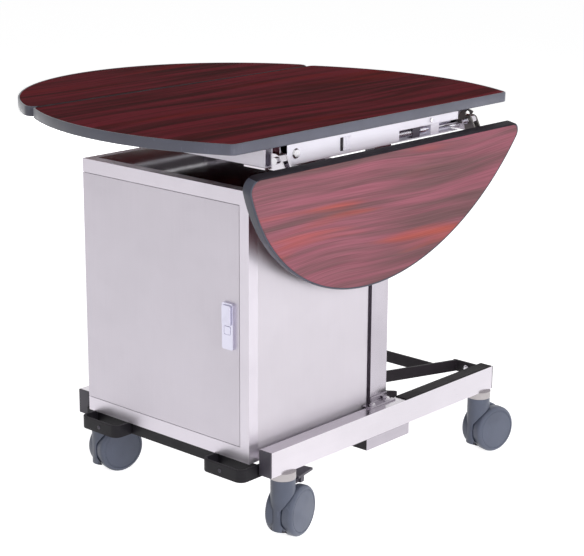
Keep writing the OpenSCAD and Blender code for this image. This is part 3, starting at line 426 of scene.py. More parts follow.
def made_plain(obj):
    """Puts an object's modifiers into its mesh."""
    bpy.context.view_layer.update()
    graph = bpy.context.evaluated_depsgraph_get()
    result = obj.evaluated_get(graph)
    mesh = bpy.data.meshes.new_from_object(result, preserve_all_data_layers=True, depsgraph=graph)
    obj.modifiers.clear()
    obj.data = mesh
    return obj


def rounded(obj, width):
    """Breaks every sharp edge of a piece with a small round."""
    shade(obj.data)
    bevel = obj.modifiers.new("round", "BEVEL")
    bevel.width = width
    bevel.segments = 2
    bevel.limit_method = "ANGLE"
    bevel.angle_limit = SHARP
    bevel.harden_normals = True
    return made_plain(obj)


def grow(obj, tree, **values):
    """Runs a Geometry Nodes tree on an object and keeps the plain mesh."""
    modifier = obj.modifiers.new("grow", "NODES")
    modifier.node_group = tree
    for item in tree.interface.items_tree:
        if item.item_type == "SOCKET" and item.in_out == "INPUT" and item.name in values:
            modifier[item.identifier] = values[item.name]
    return made_plain(obj)


def close_tree(tree, geometry, given, out):
    """Ends a Geometry Nodes tree: its instances made real, in the finish that it is given."""
    real = add(tree, "GeometryNodeRealizeInstances", (geometry,)).outputs[0]
    real = add(tree, "GeometryNodeSetMaterial", {"Geometry": real, "Material": given["Finish"]}).outputs[0]
    tree.links.new(real, out["Geometry"])


def merged_copy(node):
    """A clean copy of a CAD node's mesh: doubles merged and flat faces joined."""
    bm = bmesh.new()
    bm.from_mesh(nodes[node].data)
    bmesh.ops.remove_doubles(bm, verts=bm.verts, dist=SAME_POINT)
    bmesh.ops.dissolve_limit(bm, angle_limit=FLAT, verts=bm.verts, edges=bm.edges, delimit={"NORMAL"})
    mesh = bpy.data.meshes.new(node)
    bm.to_mesh(mesh)
    bm.free()
    return mesh


def body_of(node):
    return nodes[node]["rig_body"]


def finish_piece(obj, body, slot, *replaced):
    """Says which body a piece rides on and hides the CAD nodes that it stands for; its slot is not used."""
    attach(obj, body)
    if replaced:
        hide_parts(*replaced)


def softened(node, finish, slot, width_mm):
    """A CAD node with its edges broken, in its finish."""
    obj = link(node + ".soft", merged_copy(node), finish)
    rounded(obj, width_mm * MM)
    finish_piece(obj, body_of(node), slot, node)


# ---------------------------------------------------------------- pieces with one finish
SOFTENED = {
    # node: (finish, slot, width of the broken edge in mm)
    "cross_rails": ("satin_x", "bright_steel", 1.2),
    "side_rails": ("satin_y", "bright_steel", 1.0),
    "frame_runners": ("rail_y", "bright_steel", 1.0),
    "head_beam": ("rail_x", "bright_steel", 1.0),
    "hinge_ears": ("rail_y", "bright_steel", 0.6),
    "frame_bolts": ("fastener", "fasteners", 0.6),
    "near_lock_bolt": ("chrome", "fasteners", 0.4),
    "far_lock_bolt": ("chrome", "fasteners", 0.4),
    "near_lock_knob": ("chrome", "fasteners", 0.5),
    "far_lock_knob": ("chrome", "fasteners", 0.5),
    "posts": ("post", "polished_steel", 1.5),
    "post_feet": ("post", "polished_steel", 0.5),
    "post_gussets": ("black", "dark_steel", 0.8),
    "leaf_buffers": ("rubber", "black_rubber", 1.0),
    "base_rails": ("rail_y", "bright_steel", 1.2),
    "rail_end_caps": ("dark", "black_rubber", 1.0),
    "rail_pads": ("rubber", "black_rubber", 0.6),
    "rear_braces": ("black", "dark_steel", 1.0),
    "cabinet_bearers": ("satin_y", "bright_steel", 0.5),
    "cabinet_sides": ("sheet", "brushed_steel", 1.0),
    "cabinet_top": ("lid", "cabinet_top", 0.6),
    "cabinet_floor": ("inside", "brushed_steel", 0.6),
    "cabinet_back": ("sheet", "brushed_steel", 1.0),
    "cabinet_front_frame": ("front_sheet", "brushed_steel", 1.0),
    "cabinet_door": ("door_sheet", "brushed_steel", 0.5),
    "door_gasket": ("rubber", "black_rubber", 1.0),
    "door_pins": ("fastener", "fasteners", 0.3),
    "lock_plate": ("satin_chrome", "lock_chrome", 1.0),
    "lock_lever": ("satin_chrome", "lock_chrome", 0.8),
    "lock_button": ("satin_chrome", "lock_chrome", 0.6),
    "shelf_runners": ("inside", "brushed_steel", 0.5),
    "shelves": ("inside", "brushed_steel", 0.4),
    "caster_stems": ("stem", "fasteners", 0.8),
    "near_brake_pedal": ("dark", "caster_grey", 1.2),
    "far_brake_pedal": ("dark", "caster_grey", 1.2),
}
for node, (finish, slot, width) in SOFTENED.items():
    softened(node, finish, slot, width)


# ---------------------------------------------------------------- pieces with two finishes
def two_tone(node, finish, other, slot, is_other, width_mm=0.5, split_y=None):
    """A softened CAD node whose faces take the other finish where is_other holds for their middle.

    With split_y its faces are first cut across at that place.
    """
    mesh = merged_copy(node)
    if split_y is not None:
        bm = bmesh.new()
        bm.from_mesh(mesh)
        bmesh.ops.bisect_plane(bm, geom=bm.verts[:] + bm.edges[:] + bm.faces[:], plane_co=(0, split_y, 0),
                               plane_no=(0, 1, 0))
        bm.to_mesh(mesh)
        bm.free()
    obj = link(node + ".soft", mesh, finish, other)
    rounded(obj, width_mm * MM)
    for face in obj.data.polygons:
        face.material_index = 1 if is_other(face.center) else 0
    finish_piece(obj, body_of(node), slot, node)


CORNERS = ("near_front", "far_front", "near_rear", "far_rear")
CHANNEL_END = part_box("cross_channel")[1].x - 2.5 * MM   # bright end plates lie outside of this
END_GUIDE_Y = 145 * MM                                  # between a lock's dark block and bright guide
CASTER_SHADE_Z = 24 * MM                                    # below this a caster's housing takes black rubber as painted shade
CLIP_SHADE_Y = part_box("rail_clips")[0].y + 6.5 * MM      # in front of this a rail clip is black: painted shade in its gap to the rail

two_tone("cross_channel", "black", "post", "polished_steel", lambda at: abs(at.x) > CHANNEL_END, 1.0)
# The rear half of each leaf bracket (y > 0) takes painted shade.
two_tone("near_leaf_brackets", "rail_y", "bracket_painted_shade", "bright_steel", lambda at: at.y > 0)
two_tone("far_leaf_brackets", "rail_y", "bracket_painted_shade", "bright_steel", lambda at: at.y > 0)
two_tone("lock_guides", "dark", "satin_y", "dark_steel", lambda at: at.y > END_GUIDE_Y)
# The bottom of each caster housing takes the black rubber finish as painted shade between the wheels.
for corner in CORNERS:
    two_tone(corner + "_caster", "caster", "rubber", "caster_grey", lambda at: at.z < CASTER_SHADE_Z, 1.5)
# The front of each rail clip is painted black as painted shade in the gap between rail and clip.
two_tone("rail_clips", "satin_y", "black", "bright_steel", lambda at: at.y < CLIP_SHADE_Y, 0.3,
         split_y=CLIP_SHADE_Y)


# ---------------------------------------------------------------- front strap
STRAP_BAR = 6 * MM              # thickness of the flat bar
LOOP_WIDTH = 100 * MM           # a forward loop, between the middles of its sides
LOOP_BEND = 13 * MM
FAR_LOOP_IN = 27 * MM           # how far the far loop stands in from the strap's end
CROSS_BAR_IN = 6 * MM           # from the cabinet's front edge to the cross bar
STRAP_ROUND = 0.9 * MM


def bent_path(corners, radius, steps=6):
    """A path through corners, each rounded with a radius."""
    points = [Vector(corners[0])]
    for before, at, after in zip(corners, corners[1:], corners[2:]):
        at = Vector(at)
        back = (Vector(before) - at).normalized()
        on = (Vector(after) - at).normalized()
        centre = at + (back + on) * radius
        start, finish = at + back * radius - centre, at + on * radius - centre
        turn = start.angle_signed(finish)
        for i in range(steps + 1):
            angle = -turn * i / steps
            points.append(centre + Vector((start.x * math.cos(angle) - start.y * math.sin(angle),
                                           start.x * math.sin(angle) + start.y * math.cos(angle))))
    return points + [Vector(corners[-1])]


def flat_bar(bm, path, low, high, thickness):
    """A flat bar on edge that follows a path in the plan."""
    sides = [[], []]
    for i, point in enumerate(path):
        along = (path[min(i + 1, len(path) - 1)] - path[max(i - 1, 0)]).normalized()
        across = Vector((-along.y, along.x)) * thickness / 2
        for side, place in zip(sides, (point + across, point - across)):
            side.append([bm.verts.new((place.x, place.y, z)) for z in (low, high)])
    left, right = sides
    for i in range(len(path) - 1):
        (a0, a1), (b0, b1), (c0, c1), (d0, d1) = left[i], left[i + 1], right[i], right[i + 1]
        for corners in ((a0, a1, b1, b0), (c0, d0, d1, c1), (a1, c1, d1, b1), (a0, b0, d0, c0)):
            bm.faces.new(corners)
    for end in (0, -1):
        bm.faces.new((left[end][0], left[end][1], right[end][1], right[end][0]))


def make_strap():
    """Flat bar under the cabinet's front edge with a bent loop at each side."""
    (low_x, low_y, low_z), (high_x, high_y, high_z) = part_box("front_strap")
    half = STRAP_BAR / 2
    cross_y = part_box("cabinet_front_frame")[0].y + CROSS_BAR_IN
    loop_y = low_y + half
    near = high_x - half
    near_in = near - LOOP_WIDTH
    far = low_x + FAR_LOOP_IN + half
    far_in = far + LOOP_WIDTH
    paths = (
        [Vector((low_x, cross_y + half)), Vector((high_x, cross_y + half))],
        bent_path(((near, high_y), (near, loop_y), (near_in, loop_y), (near_in, cross_y)), LOOP_BEND),
        bent_path(((far, cross_y), (far, loop_y), (far_in, loop_y), (far_in, cross_y)), LOOP_BEND),
        [Vector((low_x + half, cross_y + STRAP_BAR)), Vector((low_x + half, high_y))],
    )
    bm = bmesh.new()
    for path in paths:
        flat_bar(bm, path, low_z, high_z, STRAP_BAR)
    bmesh.ops.recalc_face_normals(bm, faces=bm.faces)
    mesh = bpy.data.meshes.new("strap")
    bm.to_mesh(mesh)
    bm.free()
    obj = link("bent_strap", mesh, "strap")
    rounded(obj, STRAP_ROUND)
    finish_piece(obj, "frame", "dark_steel", "front_strap")


make_strap()


# ---------------------------------------------------------------- wheels
WHEEL_W = 23 * MM
WHEEL_FACE = 8 * MM             # from the middle of a pair to a wheel's inner face
AXLE_R = 5 * MM
AXLE_REACH = WHEEL_FACE + 1.5 * MM
DISC, TREAD = 0, 1              # places of the wheel's two finishes
INNER_FACE = ((0, 1.0), (0.30, 1.0), (0.34, 2.0), (0.84, 2.0), (0.88, 0))   # share of radius, mm deep
INNER_ROUND = 3 * MM            # tread's round at the inner face
TREAD_END = 9 * MM              # from the inner face to the end of the tread
SHOULDER = 8 * MM               # wheel's round at the outer face
SHOULDER_IN = 9.4 * MM          # from the outer face to the middle of that round
RING_IN = 8.5 * MM              # from the tread to the ring in the outer face
RING = ((0.6, 1.5), (0, 2.4), (-0.9, 2.3), (-1.5, 1.5))     # mm out from the ring, mm under the outer face
DOME_RISE = 1.5 * MM            # rise of the domed disc inside the ring
DOME_STEPS = 8


def lathe(bm, profile, start, turn, steps=96):
    """Spins a profile about X, from a start on the axis in the direction of turn (1 or -1).

    Each point of the profile is (distance from the axis, place along the axis, finish).
    """
    rings = []
    for distance, along, _ in profile:
        x = start + turn * along
        if distance == 0:
            rings.append([bm.verts.new((x, 0, 0))])
            continue
        rings.append([bm.verts.new((x, distance * math.cos(a), distance * math.sin(a)))
                      for a in (2 * math.pi * i / steps for i in range(steps))])
    for ring, after, (_, _, finish) in zip(rings, rings[1:], profile[1:]):
        for i in range(steps):
            j = (i + 1) % steps
            corners = [ring[i % len(ring)], ring[j % len(ring)]]
            corners += [after[j % len(after)], after[i % len(after)]]
            unique = list(dict.fromkeys(corners))
            bm.faces.new(unique).material_index = finish


def wheel_profile(radius):
    """Inner face, tread, shoulder, shallow ring and domed disc, out to the closed middle."""
    def rounding(distance, along, r, end, start, finish, steps):
        return [(distance + r * math.cos(a), along + r * math.sin(a), finish)
                for a in (math.radians(start + (end - start) * i / steps) for i in range(steps + 1))]
    points = [(share * radius, deep * MM, DISC) for share, deep in INNER_FACE]
    points += rounding(radius - INNER_ROUND, INNER_ROUND, INNER_ROUND, 0, -90, TREAD, 6)
    points += [(radius, TREAD_END, TREAD)]
    points += rounding(radius - SHOULDER, WHEEL_W - SHOULDER_IN, SHOULDER, 84, 0, DISC, 9)
    ring = radius - RING_IN
    points += [(ring + out * MM, WHEEL_W - under * MM, DISC) for out, under in RING]
    dome = points[-1][0]
    for i in range(1, DOME_STEPS):
        share = 1 - i / DOME_STEPS
        points.append((dome * share, WHEEL_W - DOME_RISE * share ** 2, DISC))
    return points + [(0, WHEEL_W, DISC)]


def make_wheels(corner):
    """A pair of wheels with their axle, on the axis of the caster's own joint."""
    node = corner + "_wheels"
    low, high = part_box(node)
    radius = (high.z - low.z) / 2
    bm = bmesh.new()
    for side in (-1, 1):
        lathe(bm, wheel_profile(radius), side * WHEEL_FACE, side)
    axle = [(0, -AXLE_REACH, DISC), (AXLE_R, -AXLE_REACH, DISC),
            (AXLE_R, AXLE_REACH, DISC), (0, AXLE_REACH, DISC)]
    lathe(bm, axle, 0, 1, 24)
    bmesh.ops.recalc_face_normals(bm, faces=bm.faces)
    mesh = bpy.data.meshes.new(node)
    bm.to_mesh(mesh)
    bm.free()
    spin = next(j for j in frame["joints"] if j["name"] == corner + "_wheel_spin")
    turn = Vector((1, 0, 0)).rotation_difference(Vector(spin["axis"])).to_matrix().to_4x4()
    mesh.transform(Matrix.Translation(spin["pos_m"]) @ turn)
    obj = link(node + "_pair", mesh, "caster", "tread")
    shade(mesh)
    finish_piece(obj, body_of(node), "caster_grey", node)


for corner in CORNERS:
    make_wheels(corner)


# ---------------------------------------------------------------- boards and their edging
HALF_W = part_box("centre_edging")[1].x       # centre panel, middle to fold
FOLD_GAP = 1 * MM
LEAF_X = HALF_W + FOLD_GAP                  # inner edge of a raised leaf
LEAF_DEPTH = 282 * MM
LEAF_CHORD = 816 * MM                       # leaf at the fold, between its sharp corners
LEAF_CORNER = 22 * MM
PANEL_CHORD = 802 * MM                      # fold edge, between the panel's sharp corners
PANEL_RISE = 68 * MM
PANEL_CORNER = 16 * MM
TOP_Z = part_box("centre_top")[1].z
UNDER_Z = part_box("centre_top")[0].z
FACE_DROP = 0.3 * MM                        # printed face below the edging's top
EDGING_T = 4 * MM
EDGING_ROUND = 1.8 * MM
FOLD_JOINT = next(j for j in frame["joints"] if j["name"] == "near_leaf_fold")
FOLD_AXIS = Vector(FOLD_JOINT["pos_m"])
FOLD_ANGLE = math.radians(101.5)            # from a raised leaf to a hanging one


def arc(centre, radius, start, end, steps):
    """Points along an arc, from the start angle to the end angle."""
    return [(centre[0] + radius * math.cos(start + (end - start) * i / steps),
             centre[1] + radius * math.sin(start + (end - start) * i / steps)) for i in range(steps + 1)]


def panel_outline(inset):
    """Centre panel: straight folds, bowed ends and round corners."""
    radius = (HALF_W ** 2 + PANEL_RISE ** 2) / (2 * PANEL_RISE)
    middle = PANEL_CHORD / 2 + PANEL_RISE - radius
    corner_x = HALF_W - PANEL_CORNER
    corner_y = middle + math.sqrt((radius - PANEL_CORNER) ** 2 - corner_x ** 2)
    lean = math.atan2(corner_y - middle, corner_x)
    quarter = arc((corner_x, corner_y), PANEL_CORNER - inset, 0, lean, 10)
    bow = arc((0, middle), radius - inset, lean, math.pi - lean, 64)
    half = quarter + bow[1:-1] + [(-x, y) for x, y in reversed(quarter)]
    return half + [(-x, -y) for x, y in half]


def leaf_outline(inset):
    """Raised leaf on the +X side: a straight fold, a bowed rim and round corners."""
    radius = (LEAF_CHORD ** 2 / 4 + LEAF_DEPTH ** 2) / (2 * LEAF_DEPTH)
    middle = LEAF_X + LEAF_DEPTH - radius
    corner_x = LEAF_X + LEAF_CORNER
    corner_y = math.sqrt((radius - LEAF_CORNER) ** 2 - (corner_x - middle) ** 2)
    lean = math.atan2(corner_y, corner_x - middle)
    rim = arc((middle, 0), radius - inset, -lean, lean, 120)
    upper = arc((corner_x, corner_y), LEAF_CORNER - inset, lean, math.pi, 14)
    return rim + upper[1:] + [(x, -y) for x, y in reversed(upper)][:-1]


def board_mesh(name, outline):
    """A board with its printed face on top, its backing below and plan coordinates as its UV map."""
    bm = bmesh.new()
    rings = [[bm.verts.new((x, y, z)) for x, y in outline] for z in (UNDER_Z, TOP_Z - FACE_DROP)]
    count = len(outline)
    below = bm.faces.new(list(reversed(rings[0])))
    above = bm.faces.new(rings[1])
    for i in range(count):
        j = (i + 1) % count
        bm.faces.new((rings[0][i], rings[0][j], rings[1][j], rings[1][i])).material_index = 1
    below.material_index = 1
    above.material_index = 0
    uv = bm.loops.layers.uv.new("plan")
    for face in bm.faces:
        for loop in face.loops:
            loop[uv].uv = (loop.vert.co.x, loop.vert.co.y)
    mesh = bpy.data.meshes.new(name)
    bm.to_mesh(mesh)
    bm.free()
    return mesh


def make_edging_tree():
    """Round-edged strip swept along an outline."""
    tree, given, out = new_group("Edging strip", "GeometryNodeTree", (
        ("Outline", "NodeSocketGeometry", None), ("Thickness", "NodeSocketFloat", 0.005),
        ("Height", "NodeSocketFloat", 0.02), ("Rounding", "NodeSocketFloat", 0.002),
        ("Finish", "NodeSocketMaterial", None),
    ), (("Geometry", "NodeSocketGeometry"),))
    path = add(tree, "GeometryNodeMeshToCurve", (given["Outline"],)).outputs[0]
    path = add(tree, "GeometryNodeSetCurveNormal", (path,), mode="Z_UP").outputs[0]
    profile = add(tree, "GeometryNodeCurvePrimitiveQuadrilateral",
                  {"Width": given["Thickness"], "Height": given["Height"]}).outputs[0]
    profile = add(tree, "GeometryNodeFilletCurve", {
        "Curve": profile, "Count": 4, "Radius": given["Rounding"]}, mode="POLY").outputs[0]
    strip = add(tree, "GeometryNodeCurveToMesh", {"Curve": path, "Profile Curve": profile}).outputs[0]
    close_tree(tree, strip, given, out)
    return tree


EDGING_STRIP = make_edging_tree()


def edging(name, outline_of, finish):
    """Edging round a board; its second finish is painted shade for the faces along a fold."""
    points = [Vector((x, y, (TOP_Z + UNDER_Z) / 2)) for x, y in outline_of(EDGING_T / 2)]
    count = len(points)
    mesh = bpy.data.meshes.new(name)
    mesh.from_pydata(points, [(i, (i + 1) % count) for i in range(count)], [])
    obj = link(name, mesh, finish)
    grow(obj, EDGING_STRIP, Thickness=EDGING_T, Height=TOP_Z - UNDER_Z, Rounding=EDGING_ROUND,
         Finish=FINISH[finish])
    bm = bmesh.new()
    bm.from_mesh(obj.data)
    bmesh.ops.recalc_face_normals(bm, faces=bm.faces)
    bm.to_mesh(obj.data)
    bm.free()
    shade(obj.data)
    obj.data.materials.append(FINISH["fold_edging_painted_shade"])
    return obj


def fold_down(mesh):
    """Takes a raised near leaf's mesh to where it hangs."""
    turn = Matrix.Rotation(FOLD_ANGLE, 4, "Y")
    mesh.transform(Matrix.Translation(FOLD_AXIS) @ turn @ Matrix.Translation(-FOLD_AXIS))


def mirror_x(mesh):
    """Takes a near leaf's mesh to the far side."""
    mesh.transform(Matrix.Scale(-1, 4, Vector((1, 0, 0))))
    mesh.flip_normals()


def leaf_fold(face):
    """Holds for a leaf's edging along its fold, which takes painted shade."""
    return face.center.x < LEAF_X + EDGING_T


def far_fold_top(face):
    """Holds for the upper side of the centre panel's edging along the far fold, which takes painted shade.
    """
    return face.center.x < EDGING_T - HALF_W and face.normal.z > 0.5


BOARDS = (
    # name, outline, change of place, body, face finish, edging finish, which faces of the edging take
    # painted shade
    ("centre", panel_outline, None, "frame", "laminate", "edging", far_fold_top),
    ("near_leaf", leaf_outline, fold_down, "near_leaf", "leaf_laminate_painted_light", "leaf_edging", leaf_fold),
    ("far_leaf", leaf_outline, mirror_x, "far_leaf", "laminate", "edging", leaf_fold),
)


def make_boards():
    """Each board with its edging. A leaf's are made raised on the near side, then taken to their place."""
    for name, outline_of, change, body, finish, rim, is_painted_shade in BOARDS:
        board = link(name + "_board", board_mesh(name + "_board", outline_of(EDGING_T)), finish, "backing")
        strip = edging(name + "_edging_strip", outline_of, rim)
        # Faces along a fold take painted shade.
        for face in strip.data.polygons:
            face.material_index = 1 if is_painted_shade(face) else 0
        if change:
            change(board.data)
            change(strip.data)
        finish_piece(board, body, "wood_top", name + "_top")
        finish_piece(strip, body, "edging", name + "_edging")


make_boards()


# ---------------------------------------------------------------- bolts and screws
SMALL_HEAD = 9 * MM             # front-facing heads below this height are the strap's screws
LEAF_SCREW_R = 4 * MM
LEAF_SCREW_HALF = 1.25 * MM     # half the height of a leaf screw's head


def set_on_seats(tree, head, given, out):
    """Ends a tree with a head on each seat, turned and sized as the seat says."""
    turn = add(tree, "GeometryNodeInputNamedAttribute", {"Name": "turn"}, data_type="QUATERNION").outputs[0]
    size = add(tree, "GeometryNodeInputNamedAttribute", {"Name": "size"}, data_type="FLOAT").outputs[0]
    on_seats = add(tree, "GeometryNodeInstanceOnPoints", {
        "Points": given["Seats"], "Instance": head, "Rotation": turn, "Scale": size}).outputs[0]
    close_tree(tree, on_seats, given, out)


def make_hex_tree():
    """Hexagon heads with a chamfered top on a washer, one on each point."""
    tree, given, out = new_group("Hexagon bolts", "GeometryNodeTree", (
        ("Seats", "NodeSocketGeometry", None), ("Washer", "NodeSocketFloat", 0.0015),
        ("Finish", "NodeSocketMaterial", None),
    ), (("Geometry", "NodeSocketGeometry"),))

    def disc(sides, radius, depth, lift):
        part = add(tree, "GeometryNodeMeshCylinder", {
            "Vertices": sides, "Radius": radius, "Depth": depth}).outputs[0]
        place = add(tree, "ShaderNodeCombineXYZ", {"Z": lift}).outputs[0]
        return add(tree, "GeometryNodeTransform", {"Geometry": part, "Translation": place}).outputs[0]

    washer = disc(32, 1.0, given["Washer"], calc(tree, "MULTIPLY", given["Washer"], 0.5))
    head = disc(6, 0.86, 0.56, 0.28)
    crown = add(tree, "GeometryNodeMeshCone", {
        "Vertices": 24, "Radius Top": 0.58, "Radius Bottom": 0.76, "Depth": 0.12}).outputs[0]
    crown = add(tree, "GeometryNodeTransform", {"Geometry": crown, "Translation": (0, 0, 0.56)}).outputs[0]
    join = tree.nodes.new("GeometryNodeJoinGeometry")
    for part in (washer, head, crown):
        tree.links.new(part, join.inputs[0])
    set_on_seats(tree, join.outputs[0], given, out)
    return tree


def make_pan_tree():
    """Domed heads with a cross recess, one on each point."""
    tree, given, out = new_group("Pan-head screws", "GeometryNodeTree", (
        ("Seats", "NodeSocketGeometry", None), ("Recess width", "NodeSocketFloat", 0.22),
        ("Finish", "NodeSocketMaterial", None),
    ), (("Geometry", "NodeSocketGeometry"),))
    dome = add(tree, "GeometryNodeMeshUVSphere", {"Segments": 24, "Rings": 16, "Radius": 1.0}).outputs[0]
    dome = add(tree, "GeometryNodeTransform", {"Geometry": dome, "Scale": (1, 1, 0.55)}).outputs[0]
    half = add(tree, "GeometryNodeMeshCube", {"Size": (3, 3, 1)}).outputs[0]
    half = add(tree, "GeometryNodeTransform", {"Geometry": half, "Translation": (0, 0, -0.5)}).outputs[0]
    across = add(tree, "ShaderNodeCombineXYZ", {"X": given["Recess width"], "Y": 1.1, "Z": 0.6}).outputs[0]
    slot = add(tree, "GeometryNodeMeshCube", {"Size": across}).outputs[0]
    slot = add(tree, "GeometryNodeTransform", {"Geometry": slot, "Translation": (0, 0, 0.55)}).outputs[0]
    quarter = (0, 0, math.pi / 2)
    other = add(tree, "GeometryNodeTransform", {"Geometry": slot, "Rotation": quarter}).outputs[0]
    cut = tree.nodes.new("GeometryNodeMeshBoolean")
    cut.operation = "DIFFERENCE"
    tree.links.new(dome, cut.inputs["Mesh 1"])
    for tool in (half, slot, other):
        tree.links.new(tool, cut.inputs["Mesh 2"])
    set_on_seats(tree, cut.outputs[0], given, out)
    return tree


HEX_TREE = make_hex_tree()
PAN_TREE = make_pan_tree()


def solids_of(node):
    """The corners of each separate solid of a CAD node, as (lowest, highest)."""
    bm = bmesh.new()
    bm.from_mesh(nodes[node].data)
    bmesh.ops.remove_doubles(bm, verts=bm.verts, dist=SAME_POINT)
    reached = set()
    boxes = []
    for first in bm.verts:
        if first in reached:
            continue
        reached.add(first)
        queue = [first]
        points = []
        while queue:
            vert = queue.pop()
            points.append(vert.co.copy())
            for edge in vert.link_edges:
                other = edge.other_vert(vert)
                if other not in reached:
                    reached.add(other)
                    queue.append(other)
        boxes.append((Vector(min(p[i] for p in points) for i in range(3)),
                      Vector(max(p[i] for p in points) for i in range(3))))
    bm.free()
    return boxes


def heads(name, seats, tree, finish="fastener", **values):
    """Heads on seats given as (place, direction, radius)."""
    mesh = bpy.data.meshes.new(name)
    mesh.from_pydata([place for place, _, _ in seats], [], [])
    mesh.attributes.new("turn", "QUATERNION", "POINT")
    mesh.attributes.new("size", "FLOAT", "POINT")
    for i, (_, direction, radius) in enumerate(seats):
        mesh.attributes["turn"].data[i].value = Vector((0, 0, 1)).rotation_difference(Vector(direction))
        mesh.attributes["size"].data[i].value = radius
    obj = link(name, mesh, finish)
    grow(obj, tree, Finish=FINISH[finish], **values)
    shade(obj.data)
    return obj


def seat_of(low, high, direction):
    """Where a solid head sits: the middle of its face away from the direction."""
    direction = Vector(direction)
    middle = (low + high) / 2
    size = high - low
    depth = abs(size.dot(direction))
    radius = max(size[i] for i in range(3) if abs(direction[i]) < 0.5) / 2
    return middle - direction * depth / 2, direction, radius


def make_base_bolts():
    """Hexagon bolts on the base, and the strap's screws with domed heads."""
    hexes, domes = [], []
    for low, high in solids_of("base_bolts"):
        size = high - low
        thin = min(range(3), key=lambda i: size[i])
        side = 1 if (low + high).x > 0 else -1
        direction = ((side, 0, 0), (0, -1, 0), (0, 0, 1))[thin]
        group = domes if size.z < SMALL_HEAD and thin == 1 else hexes
        group.append(seat_of(low, high, direction))
    bolts = heads("hexagon_bolts", hexes, HEX_TREE, Washer=0.2)
    finish_piece(bolts, "frame", "fasteners", "base_bolts")
    screws = heads("strap_screws", domes, PAN_TREE, "dark")
    finish_piece(screws, "frame", "fasteners")


def make_leaf_screws():
    """Screws through the hinge brackets, with their heads on the side away from the leaf's face."""
    for side in ("near", "far"):
        node = side + "_leaf_screws"
        under = Vector((0, 0, -1))
        if side == "near":
            under = Matrix.Rotation(FOLD_ANGLE, 3, "Y") @ under
        seats = [((low + high) / 2 - under * LEAF_SCREW_HALF, under, LEAF_SCREW_R)
                 for low, high in solids_of(node)]
        screws = heads(node + "_heads", seats, PAN_TREE)
        finish_piece(screws, body_of(node), "fasteners", node)


make_base_bolts()
make_leaf_screws()


# ---------------------------------------------------------------- springs
def make_spring_tree():
    """One wire wound along Z. The geometry that it is given is not used."""
    tree, given, out = new_group("Return spring", "GeometryNodeTree", (
        ("Geometry", "NodeSocketGeometry", None), ("Curls", "NodeSocketFloat", 7.0),
        ("Radius", "NodeSocketFloat", 0.006), ("Wire radius", "NodeSocketFloat", 0.0006),
        ("Length", "NodeSocketFloat", 0.022), ("Finish", "NodeSocketMaterial", None),
    ), (("Geometry", "NodeSocketGeometry"),))
    spiral = add(tree, "GeometryNodeCurveSpiral", {
        "Resolution": 20, "Rotations": given["Curls"], "Start Radius": given["Radius"],
        "End Radius": given["Radius"], "Height": given["Length"]}).outputs[0]
    wire = add(tree, "GeometryNodeCurvePrimitiveCircle", {"Resolution": 8, "Radius": given["Wire radius"]})
    coil = add(tree, "GeometryNodeCurveToMesh", {
        "Curve": spiral, "Profile Curve": wire.outputs[0], "Fill Caps": True}).outputs[0]
    close_tree(tree, coil, given, out)
    return tree


SPRING_TREE = make_spring_tree()
SPRING_WIRE = 0.8 * MM          # radius of the wire
SPRING_CURLS = 8.0


def make_springs():
    """A coil on each lock rod, in the place and size of the CAD spring, which it hides."""
    for side in ("near", "far"):
        node = side + "_lock_spring"
        low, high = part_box(node)
        centre = (low + high) / 2
        obj = link(node + "_coil", bpy.data.meshes.new(node + "_coil"), "fastener")
        grow(obj, SPRING_TREE, Curls=SPRING_CURLS, Radius=(high.x - low.x) / 2 - SPRING_WIRE,
             Length=high.y - low.y - 2 * SPRING_WIRE, Finish=FINISH["fastener"],
             **{"Wire radius": SPRING_WIRE})
        laid = Matrix.Rotation(-math.pi / 2, 4, "X")
        obj.data.transform(Matrix.Translation((centre.x, low.y + SPRING_WIRE, centre.z)) @ laid)
        shade(obj.data)
        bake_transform(obj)
        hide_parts(node)


make_springs()


# ---------------------------------------------------------------- floor and light
FLOOR_SIZE = 60.0
FLOOR_COLOUR = (0.82, 0.82, 0.83, 1)
FLOOR_LIFT = 0.85       # what the camera and polished surfaces see of the floor besides its lit white
AMBIENT = 0.16          # light from all round on matt surfaces
WHITE = 1.0             # background that the camera and polished surfaces see
MIDDLE = (0, 0, 0.45)   # the lamps point here
LAMPS = (
    # name, place, side in metres, level
    ("front lamp", (4.2, -1.4, 1.5), 2.0, 0.68),
    ("door lamp", (-1.6, -4.0, 1.0), 2.2, 0.1),
    ("back lamp", (-3.8, 1.8, 1.1), 2.4, 0.4),
    ("rear lamp", (1.8, 4.0, 1.1), 2.4, 0.35),
)


def seen_directly(tree):
    """1 for rays of the camera, of reflections and through glass, else 0."""
    path = add(tree, "ShaderNodeLightPath").outputs
    both = calc(tree, "MAXIMUM", path["Is Camera Ray"], path["Is Glossy Ray"])
    return calc(tree, "MAXIMUM", both, path["Is Transmission Ray"])


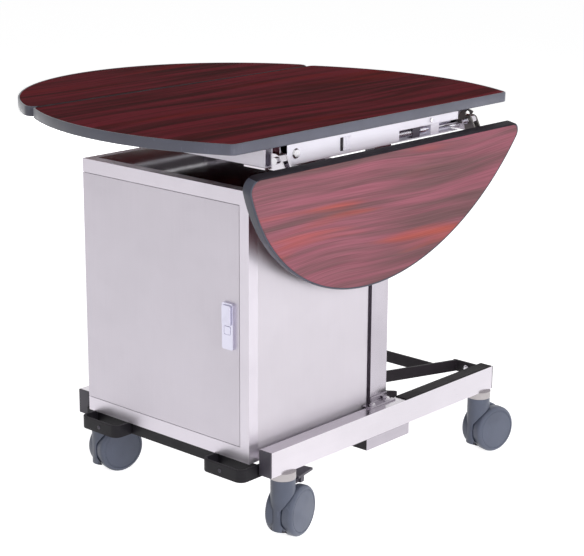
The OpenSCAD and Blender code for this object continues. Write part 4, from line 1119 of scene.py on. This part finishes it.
def make_floor():
    """Plain pale floor, lifted to white where it is seen directly."""
    mesh = bpy.data.meshes.new("floor")
    half = FLOOR_SIZE / 2
    corners = [(-half, -half, 0), (half, -half, 0), (half, half, 0), (-half, half, 0)]
    mesh.from_pydata(corners, [], [(0, 1, 2, 3)])
    floor = bpy.data.objects.new("floor", mesh)
    scene.collection.objects.link(floor)
    material = bpy.data.materials.new("pale floor")
    material.use_nodes = True
    tree = material.node_tree
    tree.nodes.clear()
    matt = add(tree, "ShaderNodeBsdfDiffuse", {"Color": FLOOR_COLOUR}).outputs[0]
    strength = calc(tree, "MULTIPLY", seen_directly(tree), FLOOR_LIFT)
    lift = add(tree, "ShaderNodeEmission", {"Color": (1, 1, 1, 1), "Strength": strength}).outputs[0]
    both = add(tree, "ShaderNodeAddShader", (matt, lift)).outputs[0]
    add(tree, "ShaderNodeOutputMaterial", {"Surface": both})
    mesh.materials.append(material)


def make_world():
    """White background with a weak even light."""
    world = bpy.data.worlds.new("studio")
    scene.world = world
    world.use_nodes = True
    tree = world.node_tree
    tree.nodes.clear()
    strength = calc(tree, "ADD", AMBIENT, calc(tree, "MULTIPLY", seen_directly(tree), WHITE - AMBIENT))
    glow = add(tree, "ShaderNodeBackground", {"Color": (1, 1, 1, 1), "Strength": strength}).outputs[0]
    add(tree, "ShaderNodeOutputWorld", {"Surface": glow})


def lamp(name, at, target, size, level):
    """A soft square lamp.

    Its level is the share of full light that it gives a surface facing it at the target.
    """
    data = bpy.data.lights.new(name, "AREA")
    data.shape = "SQUARE"
    data.size = size
    away = Vector(at) - Vector(target)
    data.energy = level * math.pi ** 2 * away.length ** 2
    obj = bpy.data.objects.new(name, data)
    obj.matrix_world = Matrix.Translation(at) @ away.to_track_quat("Z", "Y").to_matrix().to_4x4()
    obj.visible_glossy = False
    scene.collection.objects.link(obj)


make_floor()
make_world()
for name, at, size, level in LAMPS:
    lamp(name, at, MIDDLE, size, level)
place_camera()
scene.view_settings.view_transform = "Standard"
